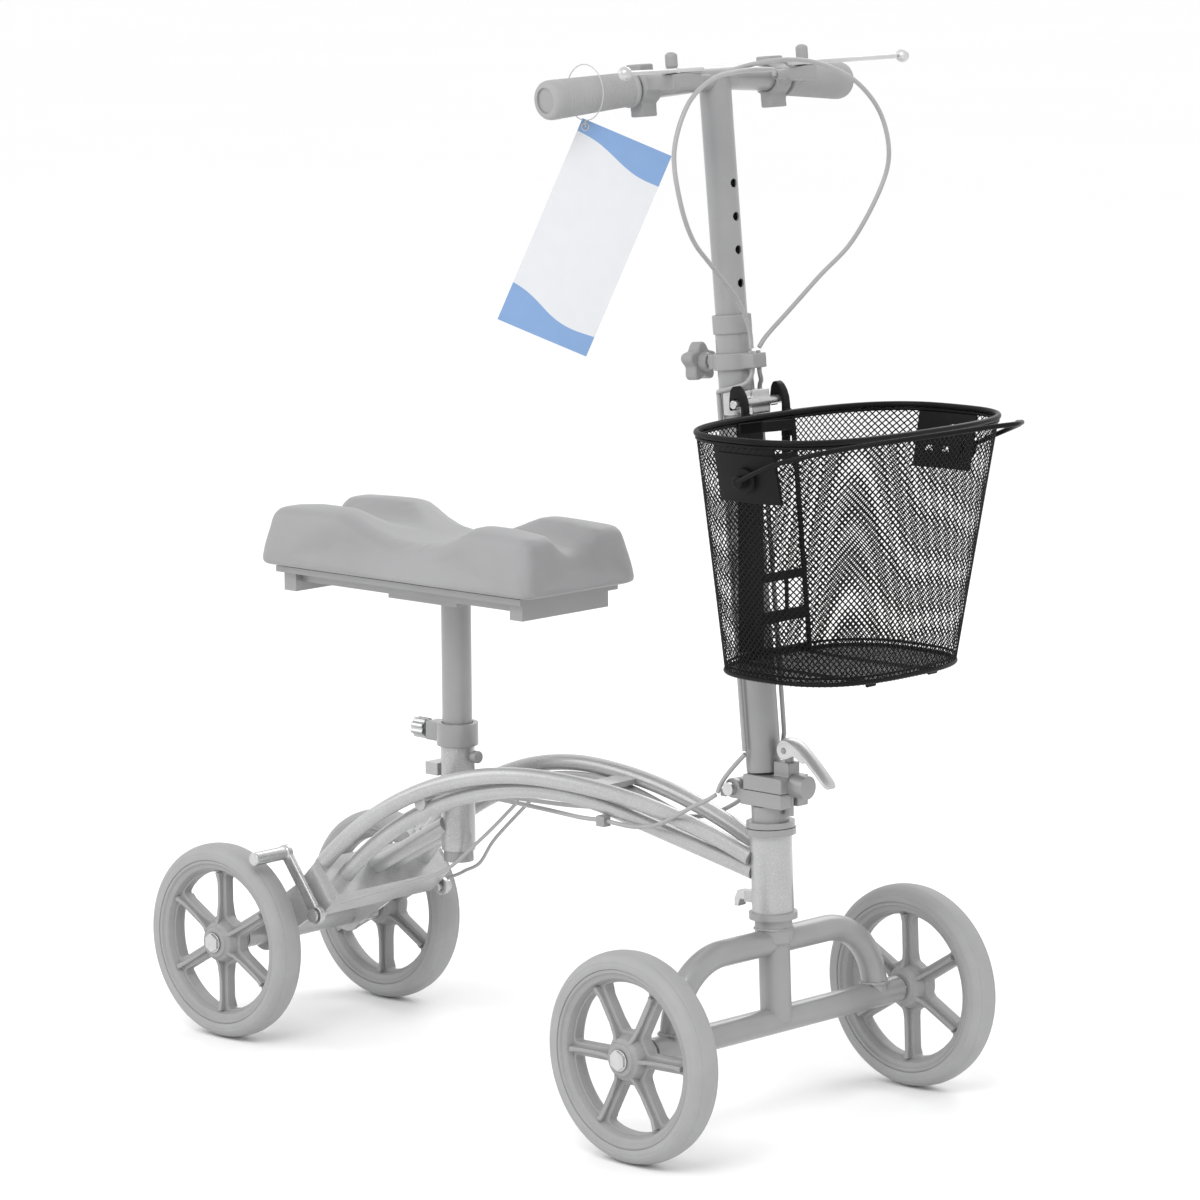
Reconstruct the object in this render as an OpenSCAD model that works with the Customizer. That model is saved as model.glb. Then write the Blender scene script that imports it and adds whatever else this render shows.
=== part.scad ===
// Steerable knee scooter: two-part folding steering column, four wheels,
// padded knee rest, two hand brakes on the rear wheels, lift-off wire basket.
// X runs forward, Y to the rider's left, Z up; the floor is Z = 0.

/* [Chassis] */
// Distance from the rear axle to the front axle
wheelbase = 610; // [600:1:620]
// Wheel diameter over the tyre
wheel_d = 190; // [188:1:192]
// Tyre width
tyre_w = 31; // [28:1:32]
// Front wheel mid-plane to the centre line
front_half_track = 184.5; // [180:0.5:190]
// Rear wheel mid-plane to the centre line
rear_half_track = 108.5; // [108:0.5:112]
// Backward lean of the steering axis, degrees
head_lean = 2; // [1:0.1:2.5]

/* [Frame tubes] */
// Outside radius of the arched frame tubes
arch_r = 7.8; // [7:0.1:7.8]
// Height of the crest of the upper arches
arch_top = 290; // [288:1:292]
// Outside radius of the front fork arch
fork_arch_r = 12; // [11:0.1:12.5]
// Outside radius of the front axle beam
beam_r = 12.2; // [11.5:0.1:12.5]

/* [Knee rest] */
// Cushion length
seat_l = 366; // [356:1:371]
// Cushion width
seat_w = 157; // [150:1:161]
// Height of the underside of the cushion
seat_z = 460.5; // [458:0.5:464]
// Seat post position ahead of the rear axle
post_x = 210.5; // [210:0.5:211]

/* [Steering column] */
// Backward lean of the column, degrees
col_lean = 5.3; // [5:0.1:5.5]
// Length of the upper tube above the fold hinge, up to the bar
col_top = 616; // [612:1:620]
// Outside radius of the sliding upper tube and of the seat post
post_r = 14.3; // [14:0.05:14.3]
// Running clearance of the sliding tubes
slide_gap = 0.05; // [0.03:0.01:0.08]

/* [Handlebar] */
// Distance from the centre line to the end of a grip
bar_half = 195; // [193:1:197]
// Outside radius of the bar
bar_r = 11.1; // [11:0.05:11.2]
// Brake lever pivot, distance from the centre line
lever_y = 87; // [85:1:89]

/* [Basket] */
// Half depth of the rim, front to back
rim_a = 92; // [90:1:93]
// Half width of the rim
rim_b = 154; // [150:1:155]
// Height of the rim
rim_z = 641; // [638:1:643]
// Half depth of the bottom
base_a = 81; // [78:1:82]
// Half width of the bottom
base_b = 107; // [104:1:110]
// Height of the bottom
base_z = 427; // [425:1:429]

/* [Hidden] */
$fn = 48;
shift_x = -393;
axle_z = wheel_d / 2;
steel = [0.55, 0.55, 0.56];
frame_grey = [0.70, 0.70, 0.71];
silver = [0.85, 0.85, 0.86];
dark = [0.42, 0.42, 0.43];
soft = [0.47, 0.47, 0.48];
black = [0.02, 0.02, 0.02];
card = [0.93, 0.95, 0.97];
hub_w = 34;
bolt_r = 6;
pivot = [574, 306];
out_a = atan(0.11);
low_a = atan(0.09);
brake_pivot = [103, 131];
brake_bar = [61, 186];
bar_end = [-21, bar_half, -9];

// ---------- placing helpers ----------
module world() { translate([shift_x, 0, 0]) children(); }
module on_steer() { world() translate([wheelbase, 0, axle_z]) rotate([0, -head_lean, 0]) children(); }
module on_col() { world() translate([596, 0, 325]) rotate([0, -col_lean, 0]) children(); }
module on_fork() { on_steer() rotate([0, 0, -2]) children(); }
module both() { children(); mirror([0, 1, 0]) children(); }
module rod_y(r, y0, y1) { translate([0, y0, 0]) rotate([-90, 0, 0]) cylinder(r = r, h = y1 - y0); }
module rod_x(r, x0, x1) { translate([x0, 0, 0]) rotate([0, 90, 0]) cylinder(r = r, h = x1 - x0); }
module rod(a, b, r) {
  d = b - a; l = norm(d);
  translate(a) rotate([0, acos(d[2] / l), atan2(d[1], d[0])]) cylinder(r = r, h = l);
}
// round tube bent in the XZ plane about (cx, cz), from angle a0 to a1
module bend(cx, cz, big, a0, a1, r) {
  translate([cx, 0, cz]) rotate([90, 0, 0]) rotate([0, 0, a0])
    rotate_extrude(angle = a1 - a0, $fn = 144) translate([big, 0]) circle(r = r, $fn = 20);
}
// smooth curve through points, and a round tube along it
function cr(p, i, t) = let (n = len(p), a = p[max(i - 1, 0)], b = p[i], c = p[i + 1], d = p[min(i + 2, n - 1)])
  0.5 * (2 * b + (c - a) * t + (2 * a - 5 * b + 4 * c - d) * t * t + (3 * b - a - 3 * c + d) * t * t * t);
function smooth(p, k) = concat([for (i = [0 : len(p) - 2]) for (j = [0 : k - 1]) cr(p, i, j / k)], [p[len(p) - 1]]);
function unit(v) = v / norm(v);
function side_of(t) = unit(cross(t, abs(t[1]) > 0.9 ? [1, 0, 0] : [0, 1, 0]));
module sweep(pts, r, m = 8) {
  n = len(pts);
  v = [for (i = [0 : n - 1]) let (t = unit(pts[min(i + 1, n - 1)] - pts[max(i - 1, 0)]), s = side_of(t), u = cross(t, s))
    for (j = [0 : m - 1]) pts[i] + r * (cos(360 * j / m) * s + sin(360 * j / m) * u)];
  f = concat([[for (j = [0 : m - 1]) m - 1 - j]],
    [for (i = [0 : n - 2]) for (j = [0 : m - 1]) let (a = i * m + j, b = i * m + (j + 1) % m) [b, a, a + m]],
    [for (i = [0 : n - 2]) for (j = [0 : m - 1]) let (a = i * m + j, b = i * m + (j + 1) % m) [b, a + m, b + m]],
    [[for (j = [0 : m - 1]) (n - 1) * m + j]]);
  polyhedron(v, [for (q = f) [for (k = [len(q) - 1 : -1 : 0]) q[k]]], convexity = 6);
}
function ringp(a, b, z, t) = [a * sign(cos(t)) * pow(abs(cos(t)), 2 / 2.8), b * sign(sin(t)) * pow(abs(sin(t)), 2 / 2.8), z];
module ring_tube(cx, a, b, z, r, n = 56, m = 8) {
  c = [for (i = [0 : n - 1]) [cx, 0, 0] + ringp(a, b, z, 360 * (i + 0.5) / n)];
  v = [for (i = [0 : n - 1]) let (t = unit(c[(i + 1) % n] - c[(i + n - 1) % n]), s = cross(t, [0, 0, 1]))
    for (j = [0 : m - 1]) c[i] + r * (cos(360 * j / m) * s + [0, 0, sin(360 * j / m)])];
  polyhedron(v, [for (i = [0 : n - 1]) for (j = [0 : m - 1]) let (k = (i + 1) % n, l = (j + 1) % m)
    [i * m + l, k * m + l, k * m + j, i * m + j]], convexity = 6);
}

// ---------- frame ----------
// centre line of an upper arch in its own upright plane: front arc, then a tighter rear arc
upper_line = concat([for (t = [66.4 : 2.36 : 89.9]) [-236.4 + 636 * cos(t), 0, arch_top - 636 + 636 * sin(t)]],
  [for (t = [90 : 3 : 138]) [-236.4 + 362 * cos(t), 0, arch_top - 362 + 362 * sin(t)]]);
module upper_arch_solid() { translate([590, 13, 0]) rotate([0, 0, -out_a]) sweep(upper_line, arch_r, 16); }
module arch_upper() color(frame_grey) difference() {
  world() both() upper_arch_solid();
  on_steer() cylinder(r = 19, h = 200);
  rear_box_solid(0);
}
// a lower arch: straight from the head tube, over a short arc, then down beside the upper one
low_top = arch_top - 13.5;
lower_line = concat([for (k = [0 : 3]) [-226 + 300 * cos(76.7) + (165 - 55 * k) * cos(13.3), 0, low_top - 300 + 300 * sin(76.7) - (165 - 55 * k) * sin(13.3)]],
  [for (t = [80 : 3.3 : 89.95]) [-226 + 300 * cos(t), 0, low_top - 300 + 300 * sin(t)]],
  [for (t = [90 : 3.2 : 141.2]) [-226 + 352 * cos(t), 0, low_top - 352 + 352 * sin(t)]]);
module lower_arch_solid() { translate([590, 9, 0]) rotate([0, 0, -low_a]) sweep(lower_line, arch_r, 16); }
module arch_lower() color(frame_grey) difference() {
  world() both() lower_arch_solid();
  world() both() translate([590, 13, 0]) rotate([0, 0, -out_a]) sweep(upper_line, arch_r + 0.1, 16);
  on_steer() cylinder(r = 19, h = 200);
  rear_box_solid(0);
}
module frame_ties() color(frame_grey) difference() {
  world() {
    translate([392, -38, 283]) cube([26, 76, 5]);
    translate([post_x, 0, 249]) rod_y(7, -52, 52);
    translate([181, -14, 268]) cube([16, 28, 12]);
  }
  world() both() { upper_arch_solid(); lower_arch_solid(); }
  world() translate([post_x, 0, 190]) cylinder(r = 16.3, h = 130);
}
module head_tube() color(frame_grey) on_steer() difference() {
  translate([0, 0, 100]) cylinder(r = 19, h = 71);
  translate([0, 0, 99]) cylinder(r = 16, h = 73);
}
module headset_cups() color(dark) on_steer() {
  difference() {
    union() { translate([0, 0, 94]) cylinder(r = 22, h = 6); translate([0, 0, 100]) cylinder(r = 16, h = 8); }
    translate([0, 0, 93]) cylinder(r = 12.56, h = 16);
  }
  difference() {
    union() { translate([0, 0, 171]) cylinder(r = 23, h = 6); translate([0, 0, 163]) cylinder(r = 16, h = 8); }
    translate([0, 0, 162]) cylinder(r = 12.56, h = 16);
  }
}
module seat_tube() color(frame_grey) world() translate([post_x, 0, 0]) difference() {
  translate([0, 0, 197]) cylinder(r = 16.3, h = 119);
  translate([0, 0, 196]) cylinder(r = post_r + slide_gap, h = 121);
}
module seat_collar() color(steel) world() translate([post_x, 0, 0]) difference() {
  union() {
    translate([0, 0, 298]) cylinder(r = 20, h = 22);
    translate([-34, -9, 300]) cube([18, 18, 18]);
    translate([16, 0, 289]) rod_x(3, -1, 8);
    translate([24, 0, 289]) rod_x(6, -3, 4);
  }
  translate([0, 0, 286]) cylinder(r = 16.3, h = 30);
  translate([0, 0, 286]) cylinder(r = post_r + 0.6, h = 36);
  translate([0, 0, 309]) rod_x(4.05, -40, -10);
}
module seat_knob() color(silver) world() translate([post_x, 0, 309]) {
  rod_x(4, -46, -16.6);
  difference() {
    rod_x(10, -54, -38.5);
    for (k = [0 : 7]) rotate([45 * k, 0, 0]) translate([-55, 0, 11.6]) rod_x(3, 0, 18);
  }
}
module seat_struts() color(frame_grey) difference() {
  world() both() rod([88, 12, 156], [206, 12, 222], arch_r);
  world() translate([post_x, 0, 190]) cylinder(r = 16.3, h = 130);
  rear_box_solid(0);
}
module rear_box_solid(c) { world() translate([97, 0, 155]) rotate([0, 45, 0]) translate([-21 + c, -76, -17 + c]) cube([42 - 2 * c, 152, 34 - 2 * c]); }
module yoke_plate(y) {
  translate([0, y - 2.5, 0]) difference() {
    union() {
      translate([0, 0, axle_z]) rod_y(19, 0, 5);
      translate([0, 5, axle_z]) rotate([90, -34.5, 0]) translate([0, -17.5, 0.2]) cube([78, 35, 4.6]);
    }
    translate([0, -1, axle_z]) rod_y(12, 0, 7);
  }
}
module rear_yoke() color(frame_grey) {
  difference() {
    rear_box_solid(0);
    rear_box_solid_inside();
  }
  difference() {
    world() both() yoke_plate(56);
    rear_box_solid(0);
  }
}
module rear_box_solid_inside() { world() translate([97, 0, 155]) rotate([0, 45, 0]) translate([-18.5, -73, -14.5]) cube([37, 146, 29]); }
module rear_axle_tube() color(frame_grey) world() translate([0, 0, axle_z]) difference() {
  rod_y(12, -88, 88);
  rod_y(bolt_r, -89, 89);
}
module axle_bolts(h, inner) {
  both() {
    rod_y(bolt_r, inner, h + 17.5);
    translate([0, h + 17.5, 0]) rotate([-90, 30, 0]) cylinder(r = 9, h = 3, $fn = 6);
  }
}
module frame_bolts() color(silver) {
  world() translate([0, 0, axle_z]) axle_bolts(rear_half_track, 50);
  world() translate([brake_pivot[0], 0, brake_pivot[1]]) both() {
    rod_y(4, 76, 90);
    translate([0, 90, 0]) rod_y(6.5, 0, 2.2);
  }
}
module rear_bushings() color(silver) world() translate([0, 0, axle_z]) both() {
  difference() { rod_y(10, 88, 91.2); rod_y(bolt_r, 87, 92); }
  difference() { rod_y(9, 91.8, 125.2); rod_y(bolt_r, 91, 126); }
}
module cable_stops() color(black) world() {
  difference() {
    translate([227, -11, 249]) cube([22, 22, 10]);
    translate([post_x, 0, 240]) cylinder(r = 16.3, h = 30);
  }
  both() translate([424.5, 28.5, 254]) cube([9.8, 9, 9.5]);
}

// ---------- front fork, turns about the head tube ----------
module fork_beam() color(steel) on_fork() difference() {
  rod_y(beam_r, -163, 163);
  both() rod_y(bolt_r, 118, 165);
}
module fork_arch_solid() {
  translate([0, 0, 72.5]) rod_y(fork_arch_r, -68, 68);
  both() translate([0, 68, 7.5]) rotate([90, 0, 90]) rotate_extrude(angle = 90) translate([65, 0]) circle(r = fork_arch_r);
  both() translate([0, 133, 0]) cylinder(r = fork_arch_r, h = 7.5);
}
module fork_arch() color(steel) on_fork() difference() {
  fork_arch_solid();
  rod_y(beam_r, -170, 170);
}
module fork_post() color(steel) on_fork() difference() {
  cylinder(r = post_r, h = 72.5);
  rod_y(beam_r, -40, 40);
  translate([0, 0, 72.5]) rod_y(fork_arch_r, -40, 40);
}
module steerer_tube() color(steel) on_fork() difference() {
  union() { translate([0, 0, 72.5]) cylinder(r = 12.5, h = 123); translate([0, 0, 72.5]) cylinder(r = 17, h = 20.8); }
  translate([0, 0, 72.5]) rod_y(fork_arch_r, -40, 40);
}
module neck_nut() color(steel) on_steer() difference() {
  union() { translate([0, 0, 177.6]) cylinder(r = 22, h = 5.4); translate([0, 0, 183]) cylinder(r = 17, h = 14); }
  translate([0, 0, 177]) cylinder(r = 12.5, h = 21);
}
module hinge_lower_block() color(dark) difference() {
  world() {
    translate([584, -19, 293]) cube([48, 38, 13.6]);
    both() difference() {
      union() {
        translate([pivot[0], 12.3, pivot[1]]) rod_y(9, 0, 6.7);
        translate([pivot[0], 12.3, 297]) cube([14, 6.7, 9]);
      }
      translate([pivot[0], 11, pivot[1]]) rod_y(4, 0, 9);
    }
    both() translate([560, 13, 297]) cube([7, 6, 7]);
  }
  world() translate([619, -4.8, 290]) cube([14, 9.6, 20]);
  on_steer() translate([0, 0, 183]) cylinder(r = 17, h = 14.01);
  on_steer() translate([0, 0, 183]) cylinder(r = 12.5, h = 12.5);
}
module front_axle_bolts() color(silver) on_fork() axle_bolts(front_half_track, 122);
module front_bushings() color(silver) on_fork() both() {
  difference() { rod_y(10, 163, front_half_track - 17.3); rod_y(bolt_r, 162, front_half_track); }
  difference() { rod_y(9, front_half_track - 16.7, front_half_track + 16.7); rod_y(bolt_r, front_half_track - 18, front_half_track + 18); }
}

// ---------- folding column ----------
module hinge_upper_block() color(dark) difference() {
  world() {
    translate([587, -19, 307]) cube([45, 38, 14]);
    difference() {
      union() {
        translate([pivot[0], -11.9, pivot[1]]) rod_y(8.6, 0, 23.8);
        translate([pivot[0], -11.9, 307]) cube([16, 23.8, 7.6]);
      }
      translate([pivot[0], -13, pivot[1]]) rod_y(4.05, 0, 26);
    }
    translate([614, -8, 321]) cube([17.6, 16, 13]);
  }
  world() translate([626, 0, 300]) cylinder(r = 4, h = 60);
  on_col() translate([0, 0, -3]) cylinder(r = 15.9, h = 40);
}
module hinge_pin() color(silver) world() translate([pivot[0], 0, pivot[1]]) {
  rod_y(4, -22, 22);
  translate([0, -25, 0]) rod_y(6, 0, 5.9);
  translate([0, 19.1, 0]) rod_y(6, 0, 5.9);
}
module latch_rod() color(silver) world() {
  translate([626, 0, 288]) cylinder(r = 4, h = 52);
  translate([626, 0, 285]) cylinder(r = 4.5, h = 3, $fn = 6);
  translate([0, 0, 313]) rod_x(10.5, 632, 648);
}
module fold_lever() color(silver) world() translate([2, 0, 0]) {
  difference() {
    union() {
      translate([624, -9, 345]) rod_y(8.6, 0, 18);
      translate([0, -9, 0]) rotate([90, 0, 0]) mirror([0, 0, 1]) linear_extrude(18)
        polygon([[626, 353.2], [638, 350], [674, 318], [671, 314.5], [636, 341], [628, 340]]);
    }
    translate([624, -4.3, 336]) cube([30, 8.6, 12], center = false);
    translate([611, -4.3, 330]) cube([13, 8.6, 22]);
    translate([622, -4.3, 340]) cube([8, 8.6, 10.2]);
    translate([624, -10, 345]) rod_y(2.55, 0, 20);
  }
}
module latch_eye() { world() translate([626, 0, 345]) { difference() { translate([0, 0, -5.2]) cylinder(r = 4, h = 8); } rod_y(2.5, -9, 9); } }
module column_sleeve() color(steel) on_col() difference() {
  translate([0, 0, -3]) cylinder(r = 15.9, h = 407);
  translate([0, 0, 60]) cylinder(r = post_r + slide_gap, h = 350);
  translate([0, 0, 365.5]) rod_x(4.2, -20, -10);
}
module column_collar() color(dark) on_col() {
  difference() {
    translate([0, 0, 390]) cylinder(r = 17.5, h = 17);
    translate([0, 0, 380]) cylinder(r = 15.9, h = 24);
    translate([0, 0, 380]) cylinder(r = post_r + 0.3, h = 40);
  }
  difference() {
    union() { translate([0, 0, 358]) cylinder(r = 19, h = 15); translate([14, -9, 359]) cube([16, 18, 13]); translate([-26, -7, 359]) cube([16, 14, 13]); }
    translate([0, 0, 350]) cylinder(r = 15.9, h = 30);
    translate([24, -5, 350]) cylinder(r = 2.6, h = 30);
    translate([24, 5, 350]) cylinder(r = 2.6, h = 30);
    translate([0, 0, 365.5]) rod_x(5.05, -30, -10);
  }
}
module height_knob() color(dark) on_col() translate([0, 0, 365.5]) {
  rod_x(5, -36, -16.4);
  difference() {
    union() {
      rod_x(13, -50, -35.6);
      for (k = [0 : 4]) rotate([72 * k, 0, 0]) translate([0, 0, 12.5]) rod_x(6, -49.4, -36.6);
    }
    rod_x(4, -51, -48);
  }
}
module basket_bracket() color(silver) on_col() difference() {
  union() {
    translate([0, 0, 318]) cylinder(r = 18.4, h = 22);
    translate([14, -12, 318]) cube([14, 24, 22]);
    translate([26, 0, 329]) rod_y(4, -36, 36);
  }
  translate([0, 0, 310]) cylinder(r = 15.9, h = 40);
  translate([12.5, 16.5, 310]) cylinder(r = 2.7, h = 40);
  translate([-5, -19, 310]) cylinder(r = 2.7, h = 40);
}

// ---------- handlebar ----------
module upper_tube() color(steel) on_col() difference() {
  translate([0, 0, 250]) cylinder(r = post_r, h = col_top - 250);
  translate([0, 0, 249]) cylinder(r = 12.6, h = 352);
  for (k = [0 : 5]) translate([0, 0, 375.5 + 29.5 * k]) rod_x(4, 10, 16);
  translate([0, 0, col_top]) rod_y(bar_r, -30, 30);
}
module bar_solid(r) {
  translate([0, 0, col_top]) {
    rod_y(r, -22, 22);
    both() { translate([0, 22, 0]) sphere(r = r); rod([0, 22, 0], bar_end, r); }
  }
}
module handlebar_tube() color(steel) on_col() bar_solid(bar_r);
bar_dir = bar_end - [0, 22, 0];
bar_l = norm(bar_dir);
module along_bar(s) { translate([0, 22, col_top]) rotate([0, acos(bar_dir[2] / bar_l), atan2(bar_dir[1], bar_dir[0])]) translate([0, 0, s - 22]) children(); }
module grips() color(soft) on_col() both() along_bar(0) difference() {
  union() {
    translate([0, 0, 103]) cylinder(r1 = 14.6, r2 = 16.9, h = 81);
    translate([0, 0, 184]) cylinder(r = 17.2, h = 10);
    translate([0, 0, 194]) cylinder(r1 = 17.2, r2 = 14, h = 4);
    translate([0, 0, 101]) cylinder(r = 16.2, h = 4);
  }
  translate([0, 0, 60]) cylinder(r = bar_r, h = bar_l + 22 - 60);
}
module lever_clamps() color(dark) on_col() both() difference() {
  union() {
    along_bar(76) cylinder(r = 15, h = 22);
    translate([-15.5, 77, col_top - 29]) cube([15, 19, 16]);
    translate([-18, 77.5, col_top + 7]) cube([17, 18, 10]);
    translate([2, 78, col_top - 7]) cube([36, 18, 13]);
    translate([26, 58, col_top - 6]) cube([12, 22, 11.6]);
    translate([33, 0, col_top - 0.4]) rod_y(4.6, 44, 60);
  }
  along_bar(60) cylinder(r = bar_r, h = 50);
  translate([29, lever_y, col_top - 10]) cylinder(r = 3.5, h = 30);
  translate([33, 43, col_top - 0.4]) rod_y(2.7, 0, 9);
}
module lever_shape() {
  difference() {
    union() {
      translate([29, lever_y, col_top + 6.3]) cylinder(r = 8, h = 5);
      translate([29, lever_y, col_top + 6.3]) rotate([0, 0, 70.5]) translate([0, -4.5, 0]) cube([104, 9, 4.5]);
      translate([29, lever_y, col_top + 6.3]) rotate([0, 0, 70.5]) translate([104, 0, 2.25]) sphere(r = 6.2);
      translate([29, lever_y, col_top + 6.3]) rotate([0, 0, -70]) translate([0, -4, 0]) cube([34, 8, 4.5]);
    }
    translate([29, lever_y, col_top + 5]) cylinder(r = 3.55, h = 10);
  }
}
module brake_lever_left() color(silver) on_col() lever_shape();
module brake_lever_right() color(silver) on_col() mirror([0, 1, 0]) lever_shape();
module lever_bolts() { on_col() both() { translate([29, lever_y, col_top - 9]) cylinder(r = 3.5, h = 34); translate([29, lever_y, col_top + 11.5]) cylinder(r = 5.5, h = 12); } }

// ---------- brake cables ----------
cable_r = 2.1;
loop_a = [[572, -51, 941], [572.2, -44.5, 941.1], [575, -39, 942.5], [583, -30, 947.5], [594, -12, 953], [602, 20, 956], [606, 60, 952], [611, 104, 936],
  [612, 140, 906], [612, 154, 868], [608, 146, 834], [604, 112, 790], [599, 74, 762], [594, 40, 735], [588.5, 14, 713], [586.4, 5.2, 702.4]];
loop_b = [[572, 51, 941], [572.2, 44.5, 941.1], [576, 37, 943], [585, 26, 946.5], [595, 0, 948], [600, -40, 948], [603, -78, 942], [607, -112, 922],
  [608, -130, 884], [606, -121, 842], [600, -98, 806], [596, -68, 780], [590, -30, 750], [587.5, -10, 722], [586.4, -5.2, 702.4]];
module cable_loops() color(black) world() { sweep(smooth(loop_a, 4), cable_r); sweep(smooth(loop_b, 4), cable_r); }
run_a = [[24, -5, 374], [24, -5, 364], [24, -5, 355], [20, -10, 346], [8, -19, 342], [-3, -20.5, 340], [-5, -19, 334], [-5, -19, 300], [-5, -19, 160], [-5, -19, 17.5]];
run_b = [[24, 5, 374], [24, 5, 364], [24, 5, 355], [18, 13, 347], [12.5, 16.5, 338], [12.5, 16.5, 300], [12.5, 16.5, 160], [12.5, 16.5, 42], [9, 19.5, 27], [4.5, 21.6, 17.5]];
module cable_column_runs() color(black) on_col() { sweep(smooth(run_a, 3), cable_r); sweep(smooth(run_b, 3), cable_r); }
hinge_a = [[590, -19, 339], [581, -20, 330], [571, -22.5, 318], [564.5, -23, 309], [561, -23.5, 301]];
hinge_b = [[598, 22, 339], [588, 23.5, 330], [571, 24.5, 318], [564.5, 24, 309], [561, 24, 301]];
module cable_hinge_runs() color(black) world() { sweep(smooth(hinge_a, 3), cable_r); sweep(smooth(hinge_b, 3), cable_r); }
steer_a = [[559.8, -24.2, 299], [552, -27.5, 293.5], [538, -31.5, 286], [518, -33, 275], [496, -33.5, 264], [468, -33.5, 258.5], [434.8, -33, 259]];
steer_b = [[559.8, 24.6, 299], [552, 27.5, 292.5], [538, 31.5, 282], [518, 33, 271], [496, 33.5, 262], [468, 33.5, 258.5], [434.8, 33, 259]];
module cable_steer_runs() color(black) world() { sweep(smooth(steer_a, 3), cable_r); sweep(smooth(steer_b, 3), cable_r); }
frame_a = [[424, -33, 259], [395, -27, 256.5], [344, -15, 254.5], [290, -8, 254], [249, -6, 254]];
frame_b = [[424, 33, 259], [395, 27, 256.5], [344, 15, 254.5], [290, 9, 254], [249, 6, 254]];
down_a = [[299, -10, 256], [270, -10, 230], [243, -13, 206], [215, -24, 180], [180, -40, 165], [150, -62, 154], [124, -72, 144]];
down_b = [[299, 10, 256], [270, 10, 230], [243, 13, 206], [215, 24, 180], [180, 40, 165], [150, 62, 154], [124, 72, 144]];
module cable_frame_runs() color(black) world() {
  sweep(smooth(frame_a, 3), cable_r); sweep(smooth(frame_b, 3), cable_r);
  sweep(smooth(down_a, 3), 1.7); sweep(smooth(down_b, 3), 1.7);
}

// ---------- rear wheel brakes ----------
module brake_arm_shape() {
  dx = brake_bar[0] - brake_pivot[0]; dz = brake_bar[1] - brake_pivot[1];
  difference() {
    union() {
      translate([brake_pivot[0], 82, brake_pivot[1]]) rod_y(9, 0, 6);
      translate([brake_bar[0], 82, brake_bar[1]]) rod_y(7.8, 0, 6);
      translate([brake_pivot[0], 87.6, brake_pivot[1]]) rotate([90, -atan2(dz, dx) + 180, 0]) mirror([1, 0, 0]) translate([6, -6, 0]) cube([norm([dx, dz]) - 6, 12, 5.2]);
      translate([brake_bar[0], 84, brake_bar[1]]) rod_y(6.5, 0, 44);
    }
    translate([brake_pivot[0], 80, brake_pivot[1]]) rod_y(4.05, 0, 10);
  }
}
module brake_arm_left() color(silver) world() brake_arm_shape();
module brake_arm_right() color(silver) world() mirror([0, 1, 0]) brake_arm_shape();

// ---------- knee rest ----------
module seat_post() color(steel) world() translate([post_x, 0, 186]) cylinder(r = post_r, h = 254);
module seat_base() color(dark) world() {
  translate([post_x - 45, -45, 440]) cube([90, 90, 5]);
  translate([42, -50, 445]) cube([300, 22, 9.5]);
  translate([42, 28, 445]) cube([300, 22, 9.5]);
  difference() { translate([337, -58, 438.5]) cube([16, 116, 16]); translate([330, -50.2, 444.9]) cube([12.2, 22.4, 10]); translate([330, 27.8, 444.9]) cube([12.2, 22.4, 10]); }
  difference() { translate([37, -58, 436]) cube([16, 116, 18.5]); translate([41.8, -50.2, 444.9]) cube([20, 22.4, 10]); translate([41.8, 27.8, 444.9]) cube([20, 22.4, 10]); }
  translate([34, -66, 454.5]) cube([324, 132, 5.7]);
}
module seat_cushion() color(soft) world() difference() {
  translate([14.5, 0, seat_z]) hull() for (sx = [0, 1]) for (sy = [-1, 1]) {
    translate([sx ? seat_l - 9 : 9, sy * (seat_w / 2 - 9), 0]) cylinder(r = 9, h = 10, $fn = 32);
    translate([sx ? seat_l - 26 : 22, sy * (seat_w / 2 - 22), 38]) cylinder(r = 16, h = 10, $fn = 32);
    translate([sx ? seat_l - 29 : 25, sy * (seat_w / 2 - 25), 46]) cylinder(r = 14, h = 11, $fn = 32);
  }
  translate([203, 0, seat_z + 194.5]) rod_y(162, -100, 100);
  translate([0, 0, seat_z + 73.5]) rod_x(34.5, 0, 400);
}

// ---------- wheels ----------
module tyre() color(soft) rotate([-90, 0, 0]) rotate_extrude($fn = 96) difference() {
  translate([80, -tyre_w / 2]) union() {
    square([wheel_d / 2 - 80 - 7.5, tyre_w]);
    translate([0, 7.5]) square([wheel_d / 2 - 80, tyre_w - 15]);
    for (s = [7.5, tyre_w - 7.5]) translate([wheel_d / 2 - 87.5, s]) circle(r = 7.5, $fn = 24);
  }
}
module rim(ph) color(dark) rotate([-90, 0, 0]) difference() {
  union() {
    rotate_extrude($fn = 96) union() {
      translate([9.05, -hub_w / 2]) square([11, hub_w]);
      translate([67, -12]) square([6, 24]);
      translate([67, -4]) square([13, 8]);
      translate([76, -14]) square([4, 28]);
    }
    for (k = [0 : 5]) rotate([0, 0, 60 * k + ph]) {
      translate([0, 0, -5.5]) linear_extrude(11) polygon([[16, -8], [40, -5], [69, -7.5], [69, 7.5], [40, 5], [16, 8]]);
    }
  }
  cylinder(r = 9.05, h = 60, center = true);
}
module front_wheel(s) { on_fork() translate([0, s * front_half_track, 0]) children(); }
module rear_wheel(s) { world() translate([0, s * rear_half_track, axle_z]) children(); }
module rim_front_left() front_wheel(1) rim(30);
module rim_front_right() front_wheel(-1) rim(0);
module rim_rear_left() rear_wheel(1) rim(30);
module rim_rear_right() rear_wheel(-1) rim(30);
module tyre_front_left() front_wheel(1) tyre();
module tyre_front_right() front_wheel(-1) tyre();
module tyre_rear_left() rear_wheel(1) tyre();
module tyre_rear_right() rear_wheel(-1) tyre();

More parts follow.
